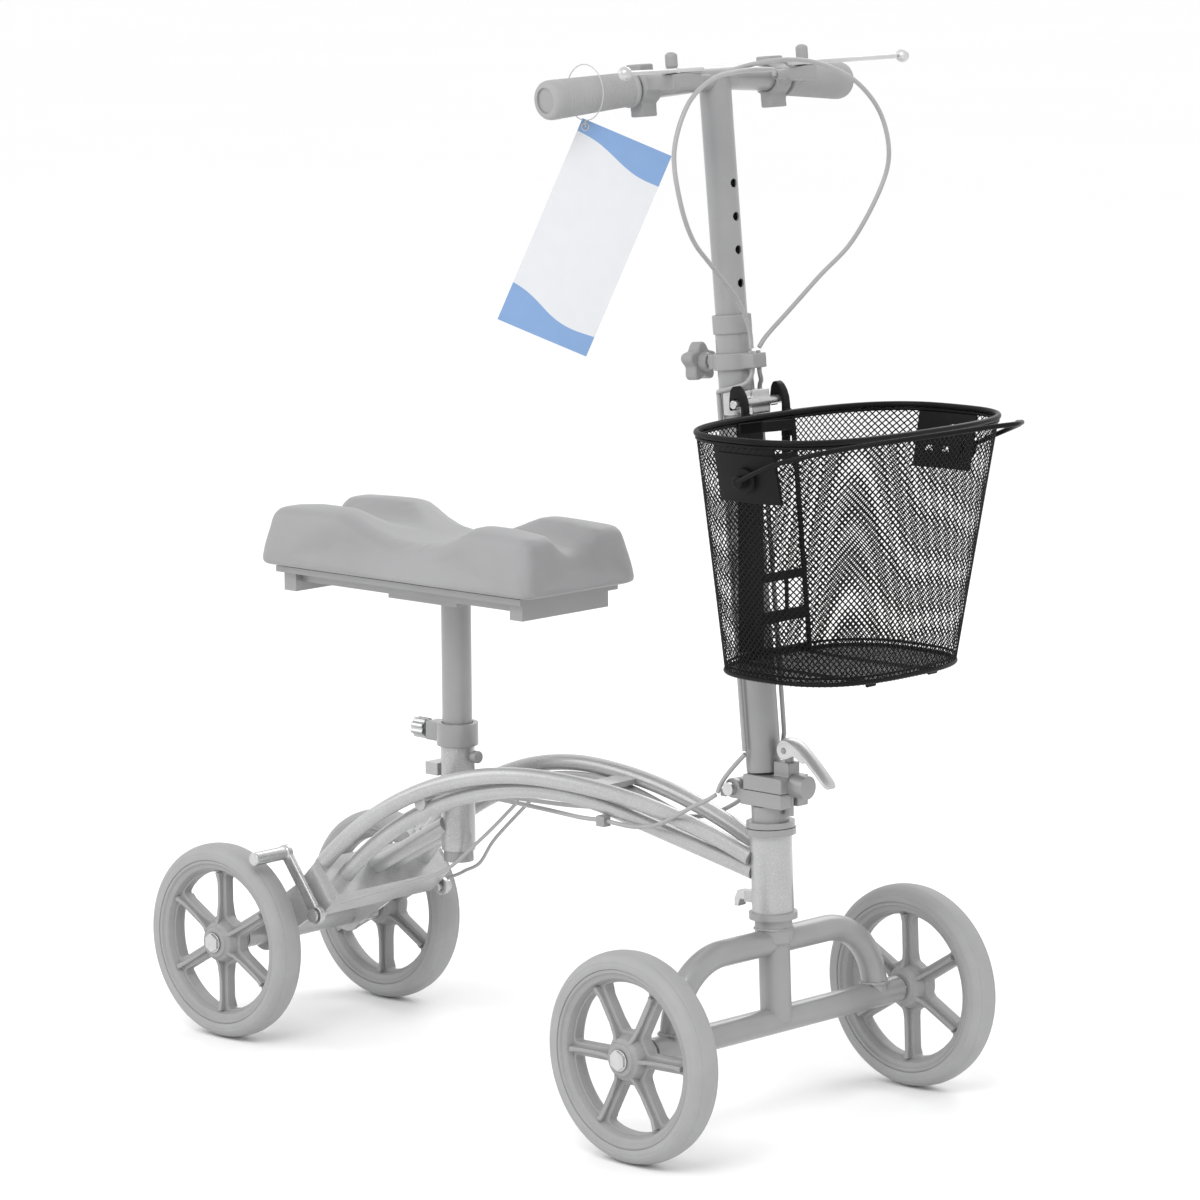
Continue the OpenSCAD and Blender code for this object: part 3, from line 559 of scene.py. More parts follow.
# ---------- wheels ----------
def wheel(tag, body, f, phase):
    """f(x, y, z): wheel frame in mm (y along the axle, outward side decided by the caller) to metres."""
    # rim and web: windows with rounded corners between six tapered spokes
    def window(k):
        a0 = 60 * k + phase
        def pt(r, off, side):
            a = rad(a0 + (0 if side < 0 else 60))
            d = np.array([math.cos(a), math.sin(a)])
            nrm = np.array([-math.sin(a), math.cos(a)]) * (-side)
            return d * math.sqrt(max(r * r - off * off, 1)) + nrm * off
        p1 = pt(25, 6.2, -1)
        p2 = pt(67.5, 6.0, -1)
        p4 = pt(67.5, 6.0, 1)
        p5 = pt(25, 6.2, 1)
        outl = [p1, p2]
        a2, a4 = math.atan2(p2[1], p2[0]), math.atan2(p4[1], p4[0])
        if a4 < a2:
            a4 += 2 * math.pi
        arc = [np.array([67.5 * math.cos(a2 + (a4 - a2) * q / 6), 67.5 * math.sin(a2 + (a4 - a2) * q / 6)]) for q in range(1, 6)]
        outl = [p1, p2] + arc + [p4, p5]
        rr = [3, 7] + [3] * 5 + [7, 3]
        return rounded(outl, rr, 5)

    loops = [[(74 * math.cos(rad(a)), 74 * math.sin(rad(a))) for a in np.arange(0, 360, 3)]]
    loops += [window(k) for k in range(6)]
    loops += [[(9.6 * math.cos(rad(a)), 9.6 * math.sin(rad(a))) for a in np.arange(0, 360, 12)]]
    parts = [curve_plate("web" + tag, loops, 5.2, 1.1, lambda u, v, w: f(u, w, -v))]
    # stiffening ribs, proud of the web on both sides
    for k in range(6):
        a = rad(60 * k + phase)
        d = np.array([math.cos(a), math.sin(a)])
        n = np.array([-math.sin(a), math.cos(a)])
        ring = []
        for (r, h, w) in ((17, 13.5, 1.9), (24, 10.5, 1.8), (40, 8.2, 1.7), (58, 8.6, 1.8), (68, 11.0, 2.2)):
            ring.append([(d * r + n * w, h), (d * r + n * w * 0.6, h + 0.5), (d * r - n * w * 0.6, h + 0.5), (d * r - n * w, h),
                         (d * r - n * w, -h), (d * r - n * w * 0.6, -h - 0.5), (d * r + n * w * 0.6, -h - 0.5), (d * r + n * w, -h)])
        V = [f(p[0], h, -p[1]) for rg in ring for (p, h) in rg]
        F = [(i * 8 + j, i * 8 + (j + 1) % 8, (i + 1) * 8 + (j + 1) % 8, (i + 1) * 8 + j) for i in range(4) for j in range(8)]
        F += [tuple(range(8))[::-1], tuple(32 + j for j in range(8))]
        parts.append((V, F))
    rimp = rounded([(80.4, 14.2), (77.0, 14.6), (75.6, 12.4), (71.5, 11.2), (68.6, 5.2), (68.6, -5.2), (71.5, -11.2),
                    (75.6, -12.4), (77.0, -14.6), (80.4, -14.2)], 1.2, 3)
    parts.append(revolve_geo(rimp, 120, f))
    hub = rounded([(9.05, 17), (14.2, 17), (15.6, 14.5), (18.5, 12.5), (21.5, 5.2), (21.5, -5.2), (18.5, -12.5),
                   (15.6, -14.5), (14.2, -17), (9.05, -17)], 0.9, 3)
    parts.append(revolve_geo(hub, 72, f))
    V, F = join_geo(parts)
    make("rim_" + tag, V, F, M_RIM, body, ["rim_" + tag], angle=38)
    # tyre: crowned tread, shallow shoulder grooves, soft sidewalls
    prof = [(80.2, 15.0), (84.5, 15.45), (86.2, 15.0), (86.8, 15.3), (89.5, 14.2), (91.8, 12.2), (93.6, 9.2), (93.2, 8.4),
            (93.9, 7.6), (94.7, 4.4), (95.0, 0), (94.7, -4.4), (93.9, -7.6), (93.2, -8.4), (93.6, -9.2), (91.8, -12.2),
            (89.5, -14.2), (86.8, -15.3), (86.2, -15.0), (84.5, -15.45), (80.2, -15.0)]
    prof = [(r, h) for r, h in rounded(prof, 0.5, 2)]
    V, F = revolve_geo(prof, 144, f)
    make("tyre_" + tag, V, F, M_TYRE, body, ["tyre_" + tag], angle=60)


wheel("front_left", "wheel_front_left", lambda x, y, z: fork(x, y + 184.5, z), 30)
wheel("front_right", "wheel_front_right", lambda x, y, z: fork(x, y - 184.5, z), 0)
wheel("rear_left", "wheel_rear_left", lambda x, y, z: W(x, y + 108.5, z + 95), 30)
wheel("rear_right", "wheel_rear_right", lambda x, y, z: W(x, y - 108.5, z + 95), 30)

# domed nuts and washers on the outer ends of the axle bolts
for tag, body, f, y0 in (("front", "fork", fork, 184.5), ("rear", "frame", lambda x, y, z: W(x, y, z + 95), 108.5)):
    parts = []
    for sy in (1, -1):
        g = lambda x, y, z, sy=sy: f(x, sy * (y + y0), z)
        parts.append(revolve_geo(rounded([(0.2, 17.6), (9.6, 17.6), (9.9, 17.9), (9.6, 18.6), (0.2, 18.6)], 0.2, 2), 48, g))
        parts.append(revolve_geo(rounded([(0.2, 20.2), (5.6, 20.2), (5.3, 20.49), (0.2, 20.5)], 0.2, 2), 48, g))
    V, F = join_geo(parts)
    make("axle_washers_" + tag, V, F, M_ZINC, body, angle=35)

# ---------- cables ----------
R1 = 0.0021
loop_a = [[572, -51, 941], [572.2, -44.5, 941.1], [575, -39, 942.5], [583, -30, 947.5], [594, -12, 953], [602, 20, 956], [606, 60, 952], [611, 104, 936],
          [612, 140, 906], [612, 154, 868], [608, 146, 834], [604, 112, 790], [599, 74, 762], [594, 40, 735], [588.5, 14, 713], [586.4, 5.2, 702.4]]
loop_b = [[572, 51, 941], [572.2, 44.5, 941.1], [576, 37, 943], [585, 26, 946.5], [595, 0, 948], [600, -40, 948], [603, -78, 942], [607, -112, 922],
          [608, -130, 884], [606, -121, 842], [600, -98, 806], [596, -68, 780], [590, -30, 750], [587.5, -10, 722], [586.4, -5.2, 702.4]]
run_a = [[24, -5, 374], [24, -5, 364], [24, -5, 355], [20, -10, 346], [8, -19, 342], [-3, -20.5, 340], [-5, -19, 334], [-5, -19, 300], [-5, -19, 160], [-5, -19, 17.5]]
run_b = [[24, 5, 374], [24, 5, 364], [24, 5, 355], [18, 13, 347], [12.5, 16.5, 338], [12.5, 16.5, 300], [12.5, 16.5, 160], [12.5, 16.5, 42], [9, 19.5, 27], [4.5, 21.6, 17.5]]
hinge_a = [[590, -19, 339], [581, -20, 330], [571, -22.5, 318], [564.5, -23, 309], [561, -23.5, 301]]
hinge_b = [[598, 22, 339], [588, 23.5, 330], [571, 24.5, 318], [564.5, 24, 309], [561, 24, 301]]
steer_a = [[559.8, -24.2, 299], [552, -27.5, 293.5], [538, -31.5, 286], [518, -33, 275], [496, -33.5, 264], [468, -33.5, 258.5], [434.8, -33, 259]]
steer_b = [[559.8, 24.6, 299], [552, 27.5, 292.5], [538, 31.5, 282], [518, 33, 271], [496, 33.5, 262], [468, 33.5, 258.5], [434.8, 33, 259]]
frame_a = [[424, -33, 259], [395, -27, 256.5], [344, -15, 254.5], [290, -8, 254], [249, -6, 254]]
frame_b = [[424, 33, 259], [395, 27, 256.5], [344, 15, 254.5], [290, 9, 254], [249, 6, 254]]
down_a = [[299, -10, 256], [270, -10, 230], [243, -13, 206], [215, -24, 180], [180, -40, 165], [150, -62, 154], [124, -72, 144]]
down_b = [[299, 10, 256], [270, 10, 230], [243, 13, 206], [215, 24, 180], [180, 40, 165], [150, 62, 154], [124, 72, 144]]


def cables(name, runs, mat, body=None, node_name=None, r=R1, k=7, sec=10):
    V, F = join_geo([tube_geo([np.array(fn(*p)) for p in smooth_path(pts, k)], rr, sec) for pts, fn, rr in runs])
    return make(name, V, F, mat, body, [node_name] if node_name else [], angle=70)


ob = cables("cable_loops_pair", [(loop_a, W, R1), (loop_b, W, R1)], M_CABLE, node_name="cable_loops")
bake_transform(ob)
cables("cable_column_pair", [(run_a, col, R1), (run_b, col, R1)], M_CABLE, "column", "cable_column_runs")
ob = cables("cable_hinge_pair", [(hinge_a, W, R1), (hinge_b, W, R1)], M_CABLE, node_name="cable_hinge_runs")
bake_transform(ob)
ob = cables("cable_steer_pair", [(steer_a, W, R1), (steer_b, W, R1)], M_CABLE, node_name="cable_steer_runs")
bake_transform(ob)
cables("cable_frame_set", [(frame_a, W, R1), (frame_b, W, R1), (down_a, W, 0.0017), (down_b, W, 0.0017)], M_CABLE,
       "frame", "cable_frame_runs")
# ferrules where the housings end
fer = []
for p, q in ((loop_a[0], loop_a[1]), (loop_b[0], loop_b[1])):
    a, b = np.array(W(*p)), np.array(W(*q))
    d = (b - a) / np.linalg.norm(b - a)
    fer.append(tube_geo([a - d * 0.004, a + d * 0.001, a + d * 0.0035, a + d * 0.006, a + d * 0.0062], [0.0036, 0.0036, 0.0033, 0.0029, 0.0024], 20))
V, F = join_geo(fer)
make("cable_ferrules", V, F, M_ZINC, "handlebar", angle=50)

# ---------- handlebar ----------
bar_dir = np.array([-21.0, 195 - 22.0, -9.0])
bar_l = float(np.linalg.norm(bar_dir))
bar_u = bar_dir / bar_l


def bar_pt(s, sy, side=0.0, upw=0.0):
    """Point s mm out from the centre line along the swept bar."""
    p = np.array([0, 22, 616.0]) + bar_u * (s - 22)
    ax = np.cross(bar_u, [0, 0, 1.0])
    ax /= np.linalg.norm(ax)
    up = np.cross(ax, bar_u)
    p = p + ax * side + up * upw
    return col(p[0], sy * p[1], p[2])


gp = [(11.15, 101), (15.4, 101), (16.2, 101.6), (16.2, 104.4), (15.4, 105.0), (14.7, 105.6)]
s = 107.0
while s < 182:
    base = 14.7 + (s - 107) / 75 * 2.0
    gp += [(base, s), (base + 0.35, s + 0.6), (base + 0.35, s + 1.9), (base, s + 2.5)]
    s += 3.0
gp += [(16.9, 183.6), (17.2, 184.6), (17.2, 192.6), (16.6, 195.4), (15.2, 197.4), (13.6, 198.0), (11.15, 198.0)]
parts = []
for sy in (1, -1):
    parts.append(revolve_geo(gp, 64, lambda a, h, b, sy=sy: bar_pt(h, sy, a, b)))
V, F = join_geo(parts)
make("grip_pair", V, F, M_GRIP, "handlebar", ["grips"], angle=75)


def lever(sy, name, body, nd):
    """Cast lever: tapered flat blade with a raised edge, a ball tip and a short tail."""
    pv = np.array([29.0, 87.0, 616.0])
    pts, wid, thk = [], [], []
    tail = [(-31, 2.8, 2.0), (-24, 3.4, 2.1), (-16, 4.2, 2.2), (-8, 6.0, 2.3)]
    a1, a0 = rad(70.5), rad(-70)
    seq = []
    for (d, w, t) in tail:
        seq.append((pv[0] + math.cos(a0) * (-d), pv[1] + math.sin(a0) * (-d), 8.6, w, t))
    seq.append((pv[0], pv[1], 8.6, 7.6, 2.35))
    for (d, w, t, lift, bow) in ((8, 6.8, 2.3, 0, 0), (16, 5.2, 2.2, 0, 0.6), (30, 4.6, 2.15, 0, 1.2), (50, 4.4, 2.1, 0, 1.2), (70, 4.2, 2.1, 0, 0.4),
                                 (86, 3.9, 2.1, 0, -0.4), (97, 3.4, 2.2, 0, -0.2)):
        seq.append((pv[0] + math.cos(a1) * d + bow, pv[1] + math.sin(a1) * d, 8.6 + lift, w, t))
    pts = [np.array(col(x, sy * y, 616 + z)) for (x, y, z, w, t) in seq]
    up = np.array(col(0, 0, 1)) - np.array(col(0, 0, 0))
    up = up / np.linalg.norm(up)
    fine = smooth_path(pts, 4)
    ws = smooth_path([[w] for (_, _, _, w, _) in seq], 4)
    ts = smooth_path([[t] for (_, _, _, _, t) in seq], 4)
    # superellipse cross-section
    V, F = [], []
    m = 20
    n = len(fine)
    for i in range(n):
        t = fine[min(i + 1, n - 1)] - fine[max(i - 1, 0)]
        t /= np.linalg.norm(t)
        sd = np.cross(t, up)
        sd /= np.linalg.norm(sd)
        w, th = float(ws[i][0]) / 1000, float(ts[i][0]) / 1000
        if i == 0:
            w, th = w * 0.7, th * 0.7
        for j in range(m):
            an = 2 * math.pi * j / m
            c, s_ = math.cos(an), math.sin(an)
            V.append(fine[i] + sd * w * math.copysign(abs(c) ** 0.6, c) + up * th * math.copysign(abs(s_) ** 0.5, s_))
    F = [(i * m + j, i * m + (j + 1) % m, (i + 1) * m + (j + 1) % m, (i + 1) * m + j) for i in range(n - 1) for j in range(m)]
    F += [tuple(range(m))[::-1], tuple((n - 1) * m + j for j in range(m))]
    parts = [(V, F)]
    # ball tip
    tip = np.array(col(pv[0] + math.cos(a1) * 104, sy * (pv[1] + math.sin(a1) * 104), 616 + 8.6))
    ax = tip - fine[-1]
    ax /= np.linalg.norm(ax)
    prof, rads = [], []
    for k in range(13):
        an = math.pi * k / 12
        prof.append(tip - ax * 0.0061 * math.cos(an))
        rads.append(max(0.0061 * math.sin(an), 0.0003))
    parts.append(tube_geo(prof, rads, 24))
    # pivot boss
    c = np.array(col(29, sy * 87, 616 + 6.4))
    parts.append(tube_geo([c, c + up * 0.0002, c + up * 0.0042, c + up * 0.0048], [0.0074, 0.0079, 0.0079, 0.0072], 36))
    V, F = join_geo(parts)
    make(name, V, F, M_ALLOY, body, [nd], angle=50)


lever(1, "lever_blade_left", "lever_left", "brake_lever_left")
lever(-1, "lever_blade_right", "lever_right", "brake_lever_right")

# ---------- cam lever of the folding latch: a curved pressed blade over two cheeks ----------
line = smooth_path([[619.4, 350.6], [622.6, 353.4], [627.5, 354.2], [634, 352.4], [642, 347.4], [653, 338.4], [664, 328.4], [671.5, 321], [675.4, 316.2]], 5)
V = []
m = 24
n = len(line)
for i, p in enumerate(line):
    q = i / (n - 1)
    t = np.array(line[min(i + 1, n - 1)]) - np.array(line[max(i - 1, 0)])
    t /= np.linalg.norm(t)
    nr = np.array([-t[1], t[0]])
    hw = 9.0 - 0.9 * q - 3.2 * max(0, (q - 0.86) / 0.14) ** 2
    th = 1.5 + 0.5 * math.sin(math.pi * q)
    for j in range(m):
        an = 2 * math.pi * j / m
        c_, s_ = math.cos(an), math.sin(an)
        y = hw * math.copysign(abs(c_) ** 0.45, c_)
        h = th * math.copysign(abs(s_) ** 0.6, s_) - 1.5 * (y / 9.0) ** 2
        V.append(W(p[0] + nr[0] * h, y, p[1] + nr[1] * h))
F = [(i * m + j, i * m + (j + 1) % m, (i + 1) * m + (j + 1) % m, (i + 1) * m + j) for i in range(n - 1) for j in range(m)]
F += [tuple(range(m))[::-1], tuple((n - 1) * m + j for j in range(m))]
parts = [(V, F)]
cheek = rounded([(617.6, 345), (619.4, 350.6), (626, 353.4), (637, 350.6), (652, 338.6), (648, 335.4), (637, 341.5), (631.5, 338.6), (626, 336.6),
                 (620.2, 338.6)], 2.4, 4)
hole = [(626 + 2.6 * math.cos(rad(a)), 345 + 2.6 * math.sin(rad(a))) for a in range(0, 360, 15)]
for y0 in (-6.6, 6.6):
    parts.append(curve_plate("cheek", [cheek, hole], 1.9, 0.5, lambda u, v, w, y0=y0: W(u, y0 + w, v)))
V, F = join_geo(parts)
make("cam_lever", V, F, M_ALLOY, "fold_latch", ["fold_lever"], angle=50)

# ---------- star knob on the column ----------
outline = []
for i in range(120):
    a = 2 * math.pi * i / 120
    outline.append(((15.6 + 2.6 * math.cos(5 * a)) * math.cos(a), (15.6 + 2.6 * math.cos(5 * a)) * math.sin(a)))
parts = [curve_plate("knob", [outline], 6.9, 2.2, lambda u, v, w: col(-42.9 + w, v, 365.5 + u), res=5)]
parts.append(revolve_geo(rounded([(5.05, -36.6), (9.5, -36.6), (8.5, -33), (7.2, -29.0), (5.05, -29.0)], 0.8, 3), 48, lambda a, h, b: col(h, a, 365.5 + b)))
parts.append(revolve_geo(rounded([(0.3, -50.0), (4.6, -50.0), (5.6, -49.4), (5.6, -48.6), (0.3, -48.6)], 0.3, 3), 48, lambda a, h, b: col(h, a, 365.5 + b)))
parts.append(revolve_geo([(0.2, -48), (4.9, -48), (4.9, -16.5), (0.2, -16.5)], 32, lambda a, h, b: col(h, a, 365.5 + b)))
V, F = join_geo(parts)
make("star_knob", V, F, M_PLAST, "height_lock", ["height_knob"], angle=45)

# ---------- basket ----------
BZ0, BZ1 = 427.0, 641.0


def super_ring(a, b, n=1440):
    t = (np.arange(n) + 0.5) / n * 2 * math.pi
    x = a * np.sign(np.cos(t)) * np.abs(np.cos(t)) ** (2 / 2.8)
    y = b * np.sign(np.sin(t)) * np.abs(np.sin(t)) ** (2 / 2.8)
    d = np.hypot(np.roll(x, -1) - x, np.roll(y, -1) - y)
    return x, y, np.concatenate([[0], np.cumsum(d)])


def wall_table(inset):
    rows = []
    for t in np.linspace(0, 1, 31):
        a = 81 + (91 - 81) * t - inset
        b = 107 + (153 - 107) * t - inset
        x, y, c = super_ring(a, b)
        u = np.linspace(0, 1, 721) * c[-1]
        xx = np.interp(u, c, np.append(x, x[0]))
        yy = np.interp(u, c, np.append(y, y[0]))
        rows.append((686 + 9 * t + xx, yy))
    return rows


TAB = wall_table(1.0)


def wall(u, t, tab=TAB):
    u = u % 1.0
    t = min(max(t, 0), 1)
    i = t * 30
    i0 = min(int(i), 29)
    f = i - i0
    k = u * 720
    k0 = int(k)
    g = k - k0
    k1 = min(k0 + 1, 720)
    out = []
    for q in (0, 1):
        r0 = tab[i0][q][k0] * (1 - g) + tab[i0][q][k1] * g
        r1 = tab[i0 + 1][q][k0] * (1 - g) + tab[i0 + 1][q][k1] * g
        out.append(r0 * (1 - f) + r1 * f)
    return out[0], out[1], BZ0 + (BZ1 - 2.5 - BZ0) * t


def outward(u, t):
    x0, y0, z0 = wall(u - 0.001, t)
    x1, y1, z1 = wall(u + 0.001, t)
    n = np.array([y1 - y0, -(x1 - x0), 0])
    n /= np.linalg.norm(n)
    return n


AROUND, ROWS, SEG = 122, 36, 52
parts = []
WINDOWS = ((-14, 27, 609, 630), (-14, 37, 468, 496))     # y0, y1, z0, z1 in the back wall


def open_here(p):
    return p[0] < 640 and any(w[0] < p[1] < w[1] and w[2] < p[2] < w[3] for w in WINDOWS)


for fam in (1, -1):
    for k in range(AROUND):
        line, runs, run = [], [], []
        for i in range(SEG + 1):
            t = i / SEG
            u = (k + 0.25) / AROUND + fam * ROWS / AROUND * (t - 0.5)
            p = np.array(wall(u, t))
            if open_here(p):
                if len(run) > 1:
                    runs.append(run)
                run = []
                continue
            n = outward(u, t)
            e = 1.0 / 720
            q = np.array(wall(u + fam * ROWS / AROUND * e, t + e)) if t + e <= 1 else p
            q0 = np.array(wall(u - fam * ROWS / AROUND * e, max(t - e, 0)))
            d = q - q0
            d /= np.linalg.norm(d)
            sd = np.cross(d, n)
            sd /= np.linalg.norm(sd)
            # flat strand, one family a little proud of the other
            c = p + n * (0.12 * fam)
            run.append([W(*(c + sd * w_ + n * h_)) for (w_, h_) in ((0.62, 0.0), (0.0, 0.38), (-0.62, 0.0), (0.0, -0.38))])
        if len(run) > 1:
            runs.append(run)
        for run in runs:
            V = [v for r4 in run for v in r4]
            m_ = len(run) - 1
            F = [(i * 4 + j, i * 4 + (j + 1) % 4, (i + 1) * 4 + (j + 1) % 4, (i + 1) * 4 + j) for i in range(m_) for j in range(4)]
            F += [(3, 2, 1, 0), (m_ * 4, m_ * 4 + 1, m_ * 4 + 2, m_ * 4 + 3)]
            parts.append((V, F))
# mesh floor
for fam in (1, -1):
    dv = np.array([math.cos(rad(48)), fam * math.sin(rad(48))])
    nv = np.array([-dv[1], dv[0]])
    for off in np.arange(-130, 130.1, 4.6):
        s = np.linspace(-150, 150, 601)
        px, py = nv[0] * off + dv[0] * s, nv[1] * off + dv[1] * s
        inside = (np.abs(px) / 79.5) ** 2.8 + (np.abs(py) / 105.5) ** 2.8 < 1
        if inside.sum() < 8:
            continue
        a, b = np.where(inside)[0][[0, -1]]
        A, B = W(686 + px[a], py[a], 428.2 + 0.12 * fam), W(686 + px[b], py[b], 428.2 + 0.12 * fam)
        parts.append(tube_geo([A, B], 0.0007, 4, ry=0.0004, up=[0, 0, 1]))
V, F = join_geo(parts)
make("basket_mesh", V, F, M_BLACK, "basket", ["basket_shell"], angle=180)

parts = []


def wire_ring(cx, a, b, z, r, m=14, n=168):
    x, y, c = super_ring(a, b)
    u = np.linspace(0, 1, n, endpoint=False) * c[-1]
    xx = np.interp(u, c, np.append(x, x[0]))
    yy = np.interp(u, c, np.append(y, y[0]))
    return tube_geo([W(cx + p, q, z) for p, q in zip(xx, yy)], r / 1000, m, closed=True)


parts.append(wire_ring(695, 90.4, 152.4, BZ1 + 2.6, 2.7, 18, 220))
parts.append(wire_ring(695, 90.2, 152.2, BZ1 - 1.6, 1.5))
parts.append(wire_ring(686, 80.0, 106.0, BZ0 + 2.0, 2.0))
parts.append(wire_ring(686.2, 79.4, 105.6, BZ0 + 7.0, 1.2))
# two stays under the floor, with turned ends that show as small tabs
for y in (-42, 42):
    parts.append(tube_geo([W(*p) for p in smooth_path([[607, y, 428], [640, y, 426.4], [686, y, 426.2], [735, y, 426.4], [764, y, 428.5]], 5)], 0.0016, 10))
    parts.append(tube_geo([W(755, y - 5, 424.6), W(755, y + 5, 424.6)], 0.0021, 12))
V, F = join_geo(parts)
make("basket_wires", V, F, M_BLACK, "basket", angle=60)


def patch(xr, zr, sy, off0, off1, nx=14, nz=8, holes=()):
    """Pressed plate that follows the side wall."""
    V = []
    for off in (off0, off1):
        for i in range(nx + 1):
            for j in range(nz + 1):
                x = xr[0] + (xr[1] - xr[0]) * i / nx
                z = zr[0] + (zr[1] - zr[0]) * j / nz
                t = (z - BZ0) / (BZ1 - BZ0)
                cx, a, b = 686 + 9 * t, 81 + 10 * t, 107 + 46 * t
                y = b * max(1 - abs((x - cx) / a) ** 2.8, 0) ** (1 / 2.8) + off
                V.append(W(x, sy * y, z))
    k = (nx + 1) * (nz + 1)
    idx = lambda s, i, j: s * k + i * (nz + 1) + j
    F = []
    for i in range(nx):
        for j in range(nz):
            if (i, j) in holes:
                continue
            F.append((idx(0, i, j), idx(0, i + 1, j), idx(0, i + 1, j + 1), idx(0, i, j + 1)))
            F.append((idx(1, i, j), idx(1, i, j + 1), idx(1, i + 1, j + 1), idx(1, i + 1, j)))
    solid = {(i, j) for i in range(nx) for j in range(nz)} - set(holes)
    for (i, j) in solid:
        for (di, dj, a, b) in ((-1, 0, (i, j), (i, j + 1)), (1, 0, (i + 1, j), (i + 1, j + 1)), (0, -1, (i, j), (i + 1, j)), (0, 1, (i, j + 1), (i + 1, j + 1))):
            if (i + di, j + dj) not in solid:
                F.append((idx(0, *a), idx(0, *b), idx(1, *b), idx(1, *a)))
    return V, F


parts = []
for sy in (-1, 1):
    hol = [(2, 3), (3, 3), (6, 3), (7, 3), (7, 7), (8, 7), (8, 6), (11, 3), (11, 4)] if sy > 0 else []
    x0, x1 = (656, 718) if sy > 0 else (670, 734)
    parts.append(patch((x0, x1), (589, 638), sy, -2.6, -0.2, 14, 10, hol))
    if sy < 0:
        parts.append(patch((676, 734), (592, 632), sy, -0.2, 0.9, 12, 8))
    for r0, r1, h0, h1 in ((3.0, 11.5, 150.2, 152.6), (0.4, 5.4, 152.0, 154.4)):
        prof = rounded([(r0, h0), (r1, h0), (r1 - 0.8, h1), (r0, h1)], 0.4, 2)
        parts.append(revolve_geo(prof, 48, lambda a, h, b, sy=sy: W(705 + a, sy * h, 609 + b)))
V, F = join_geo(parts)
make("basket_side_plates", V, F, M_BLKPL, "basket", angle=35)


def strip(p, q, width, thick, m=1):
    """Bevelled flat bar lying in the back wall, from p to q (y, z), mm."""
    p, q = np.array(p, float), np.array(q, float)
    d = (q - p) / np.linalg.norm(q - p)
    n = np.array([-d[1], d[0]])
    V = []
    for (pt) in (p, q):
        for (w, h) in ((-1, 0.3), (-0.86, 0), (0.86, 0), (1, 0.3), (1, 0.7), (0.86, 1), (-0.86, 1), (-1, 0.7)):
            yz = pt + n * width / 2 * w
            t = (yz[1] - BZ0) / (BZ1 - BZ0)
            xb = (686 + 9 * t) - (81 + 10 * t) + 2.2
            V.append(W(xb + thick * h, yz[0], yz[1]))
    F = [(j, (j + 1) % 8, 8 + (j + 1) % 8, 8 + j) for j in range(8)] + [tuple(range(8))[::-1], tuple(range(8, 16))]
    return V, F


parts = [strip((26.5, 640), (48.5, 431), 5.2, 2.2), strip((-48, 636), (25, 633.5), 10, 2.4), strip((-31, 640), (-31, 436), 33, 2.4),
         strip((-16, 499), (39, 499), 8.2, 2.6), strip((-16, 463), (42, 463), 11, 2.6), strip((17, 496), (17.5, 466), 3.6, 2.2),
         strip((-16, 606), (29, 606), 5.5, 2.2), strip((-46, 432), (49, 432), 5, 2.4)]
V, F = join_geo(parts)
make("basket_back_plate", V, F, M_BLKPL, "basket", angle=35)

# two claws over the bracket's rod, on legs joined by a crossbar
claw = [(600.6, 604), (600.8, 640), (600.6, 650), (599.4, 657.5), (597.0, 663.5), (593.5, 668.5), (589.6, 671.0), (586.2, 670.2),
        (584.0, 666.0), (583.0, 659.0), (583.0, 650.5), (584.2, 648.6), (585.8, 649.0), (586.8, 652.0), (587.2, 656.0), (589.0, 659.2), (592.0, 660.0),
        (594.8, 658.6), (596.2, 655.6), (596.6, 650), (596.6, 604)]
parts = []
for sy in (-1, 1):
    loop = rounded([(x, z) for x, z in claw], 1.2, 2)
    parts.append(curve_plate("claw", [loop], 4.2, 1.0, lambda u, v, w, sy=sy: W(u, sy * 27.5 + w, v), res=3))
    parts.append(curve_plate("pad", [rounded([(-7, 622), (7, 622), (7, 640), (4.5, 647), (-4.5, 647), (-7, 640)], 2, 3)], 1.3, 0.5,
                             lambda u, v, w, sy=sy: W(600.2 + w, sy * 27.5 + u, v)))
parts.append(curve_plate("bar", [rounded([(-33, 630), (33, 630), (33, 638.5), (-33, 638.5)], 2, 3)], 1.5, 0.6, lambda u, v, w: W(599.4 + w, u, v)))
V, F = join_geo(parts)
make("basket_claws", V, F, M_BLKPL, "basket", ["basket_hooks"], angle=50)

bail_side = [[705, 159, 609], [722, 160, 617.2], [747, 158.8, 627.6], [770.6, 144, 635.1], [792, 113, 641], [822, 81, 647], [848, 48, 652], [868, 22, 656]]
path = bail_side + [[878.4, 0, 657.5]] + [[x, -y, z] for (x, y, z) in bail_side[::-1]]
parts = [tube_geo([W(*p) for p in smooth_path(path, 8)], 0.0022, 16)]
for sy in (-1, 1):
    prof = rounded([(0.3, 155.2), (5.5, 155.2), (5.5, 160.2), (4.6, 161.0), (0.3, 161.0)], 0.6, 3)
    parts.append(revolve_geo(prof, 36, lambda a, h, b, sy=sy: W(705 + a, sy * h, 609 + b)))
V, F = join_geo(parts)
make("bail_wire", V, F, M_BLACK, "bail", ["basket_bail"], angle=50)

# ---------- hang tag ----------
TP = np.array([522.3, -150.0, 932.6])


def card_pt(a, b, c):
    r1, r2 = rad(23.4), rad(42.9)
    x, y, z = a * math.cos(r1) + c * math.sin(r1), b, -a * math.sin(r1) + c * math.cos(r1)
    return W(TP[0] + x * math.cos(r2) - y * math.sin(r2), TP[1] + x * math.sin(r2) + y * math.cos(r2), 903 + z)


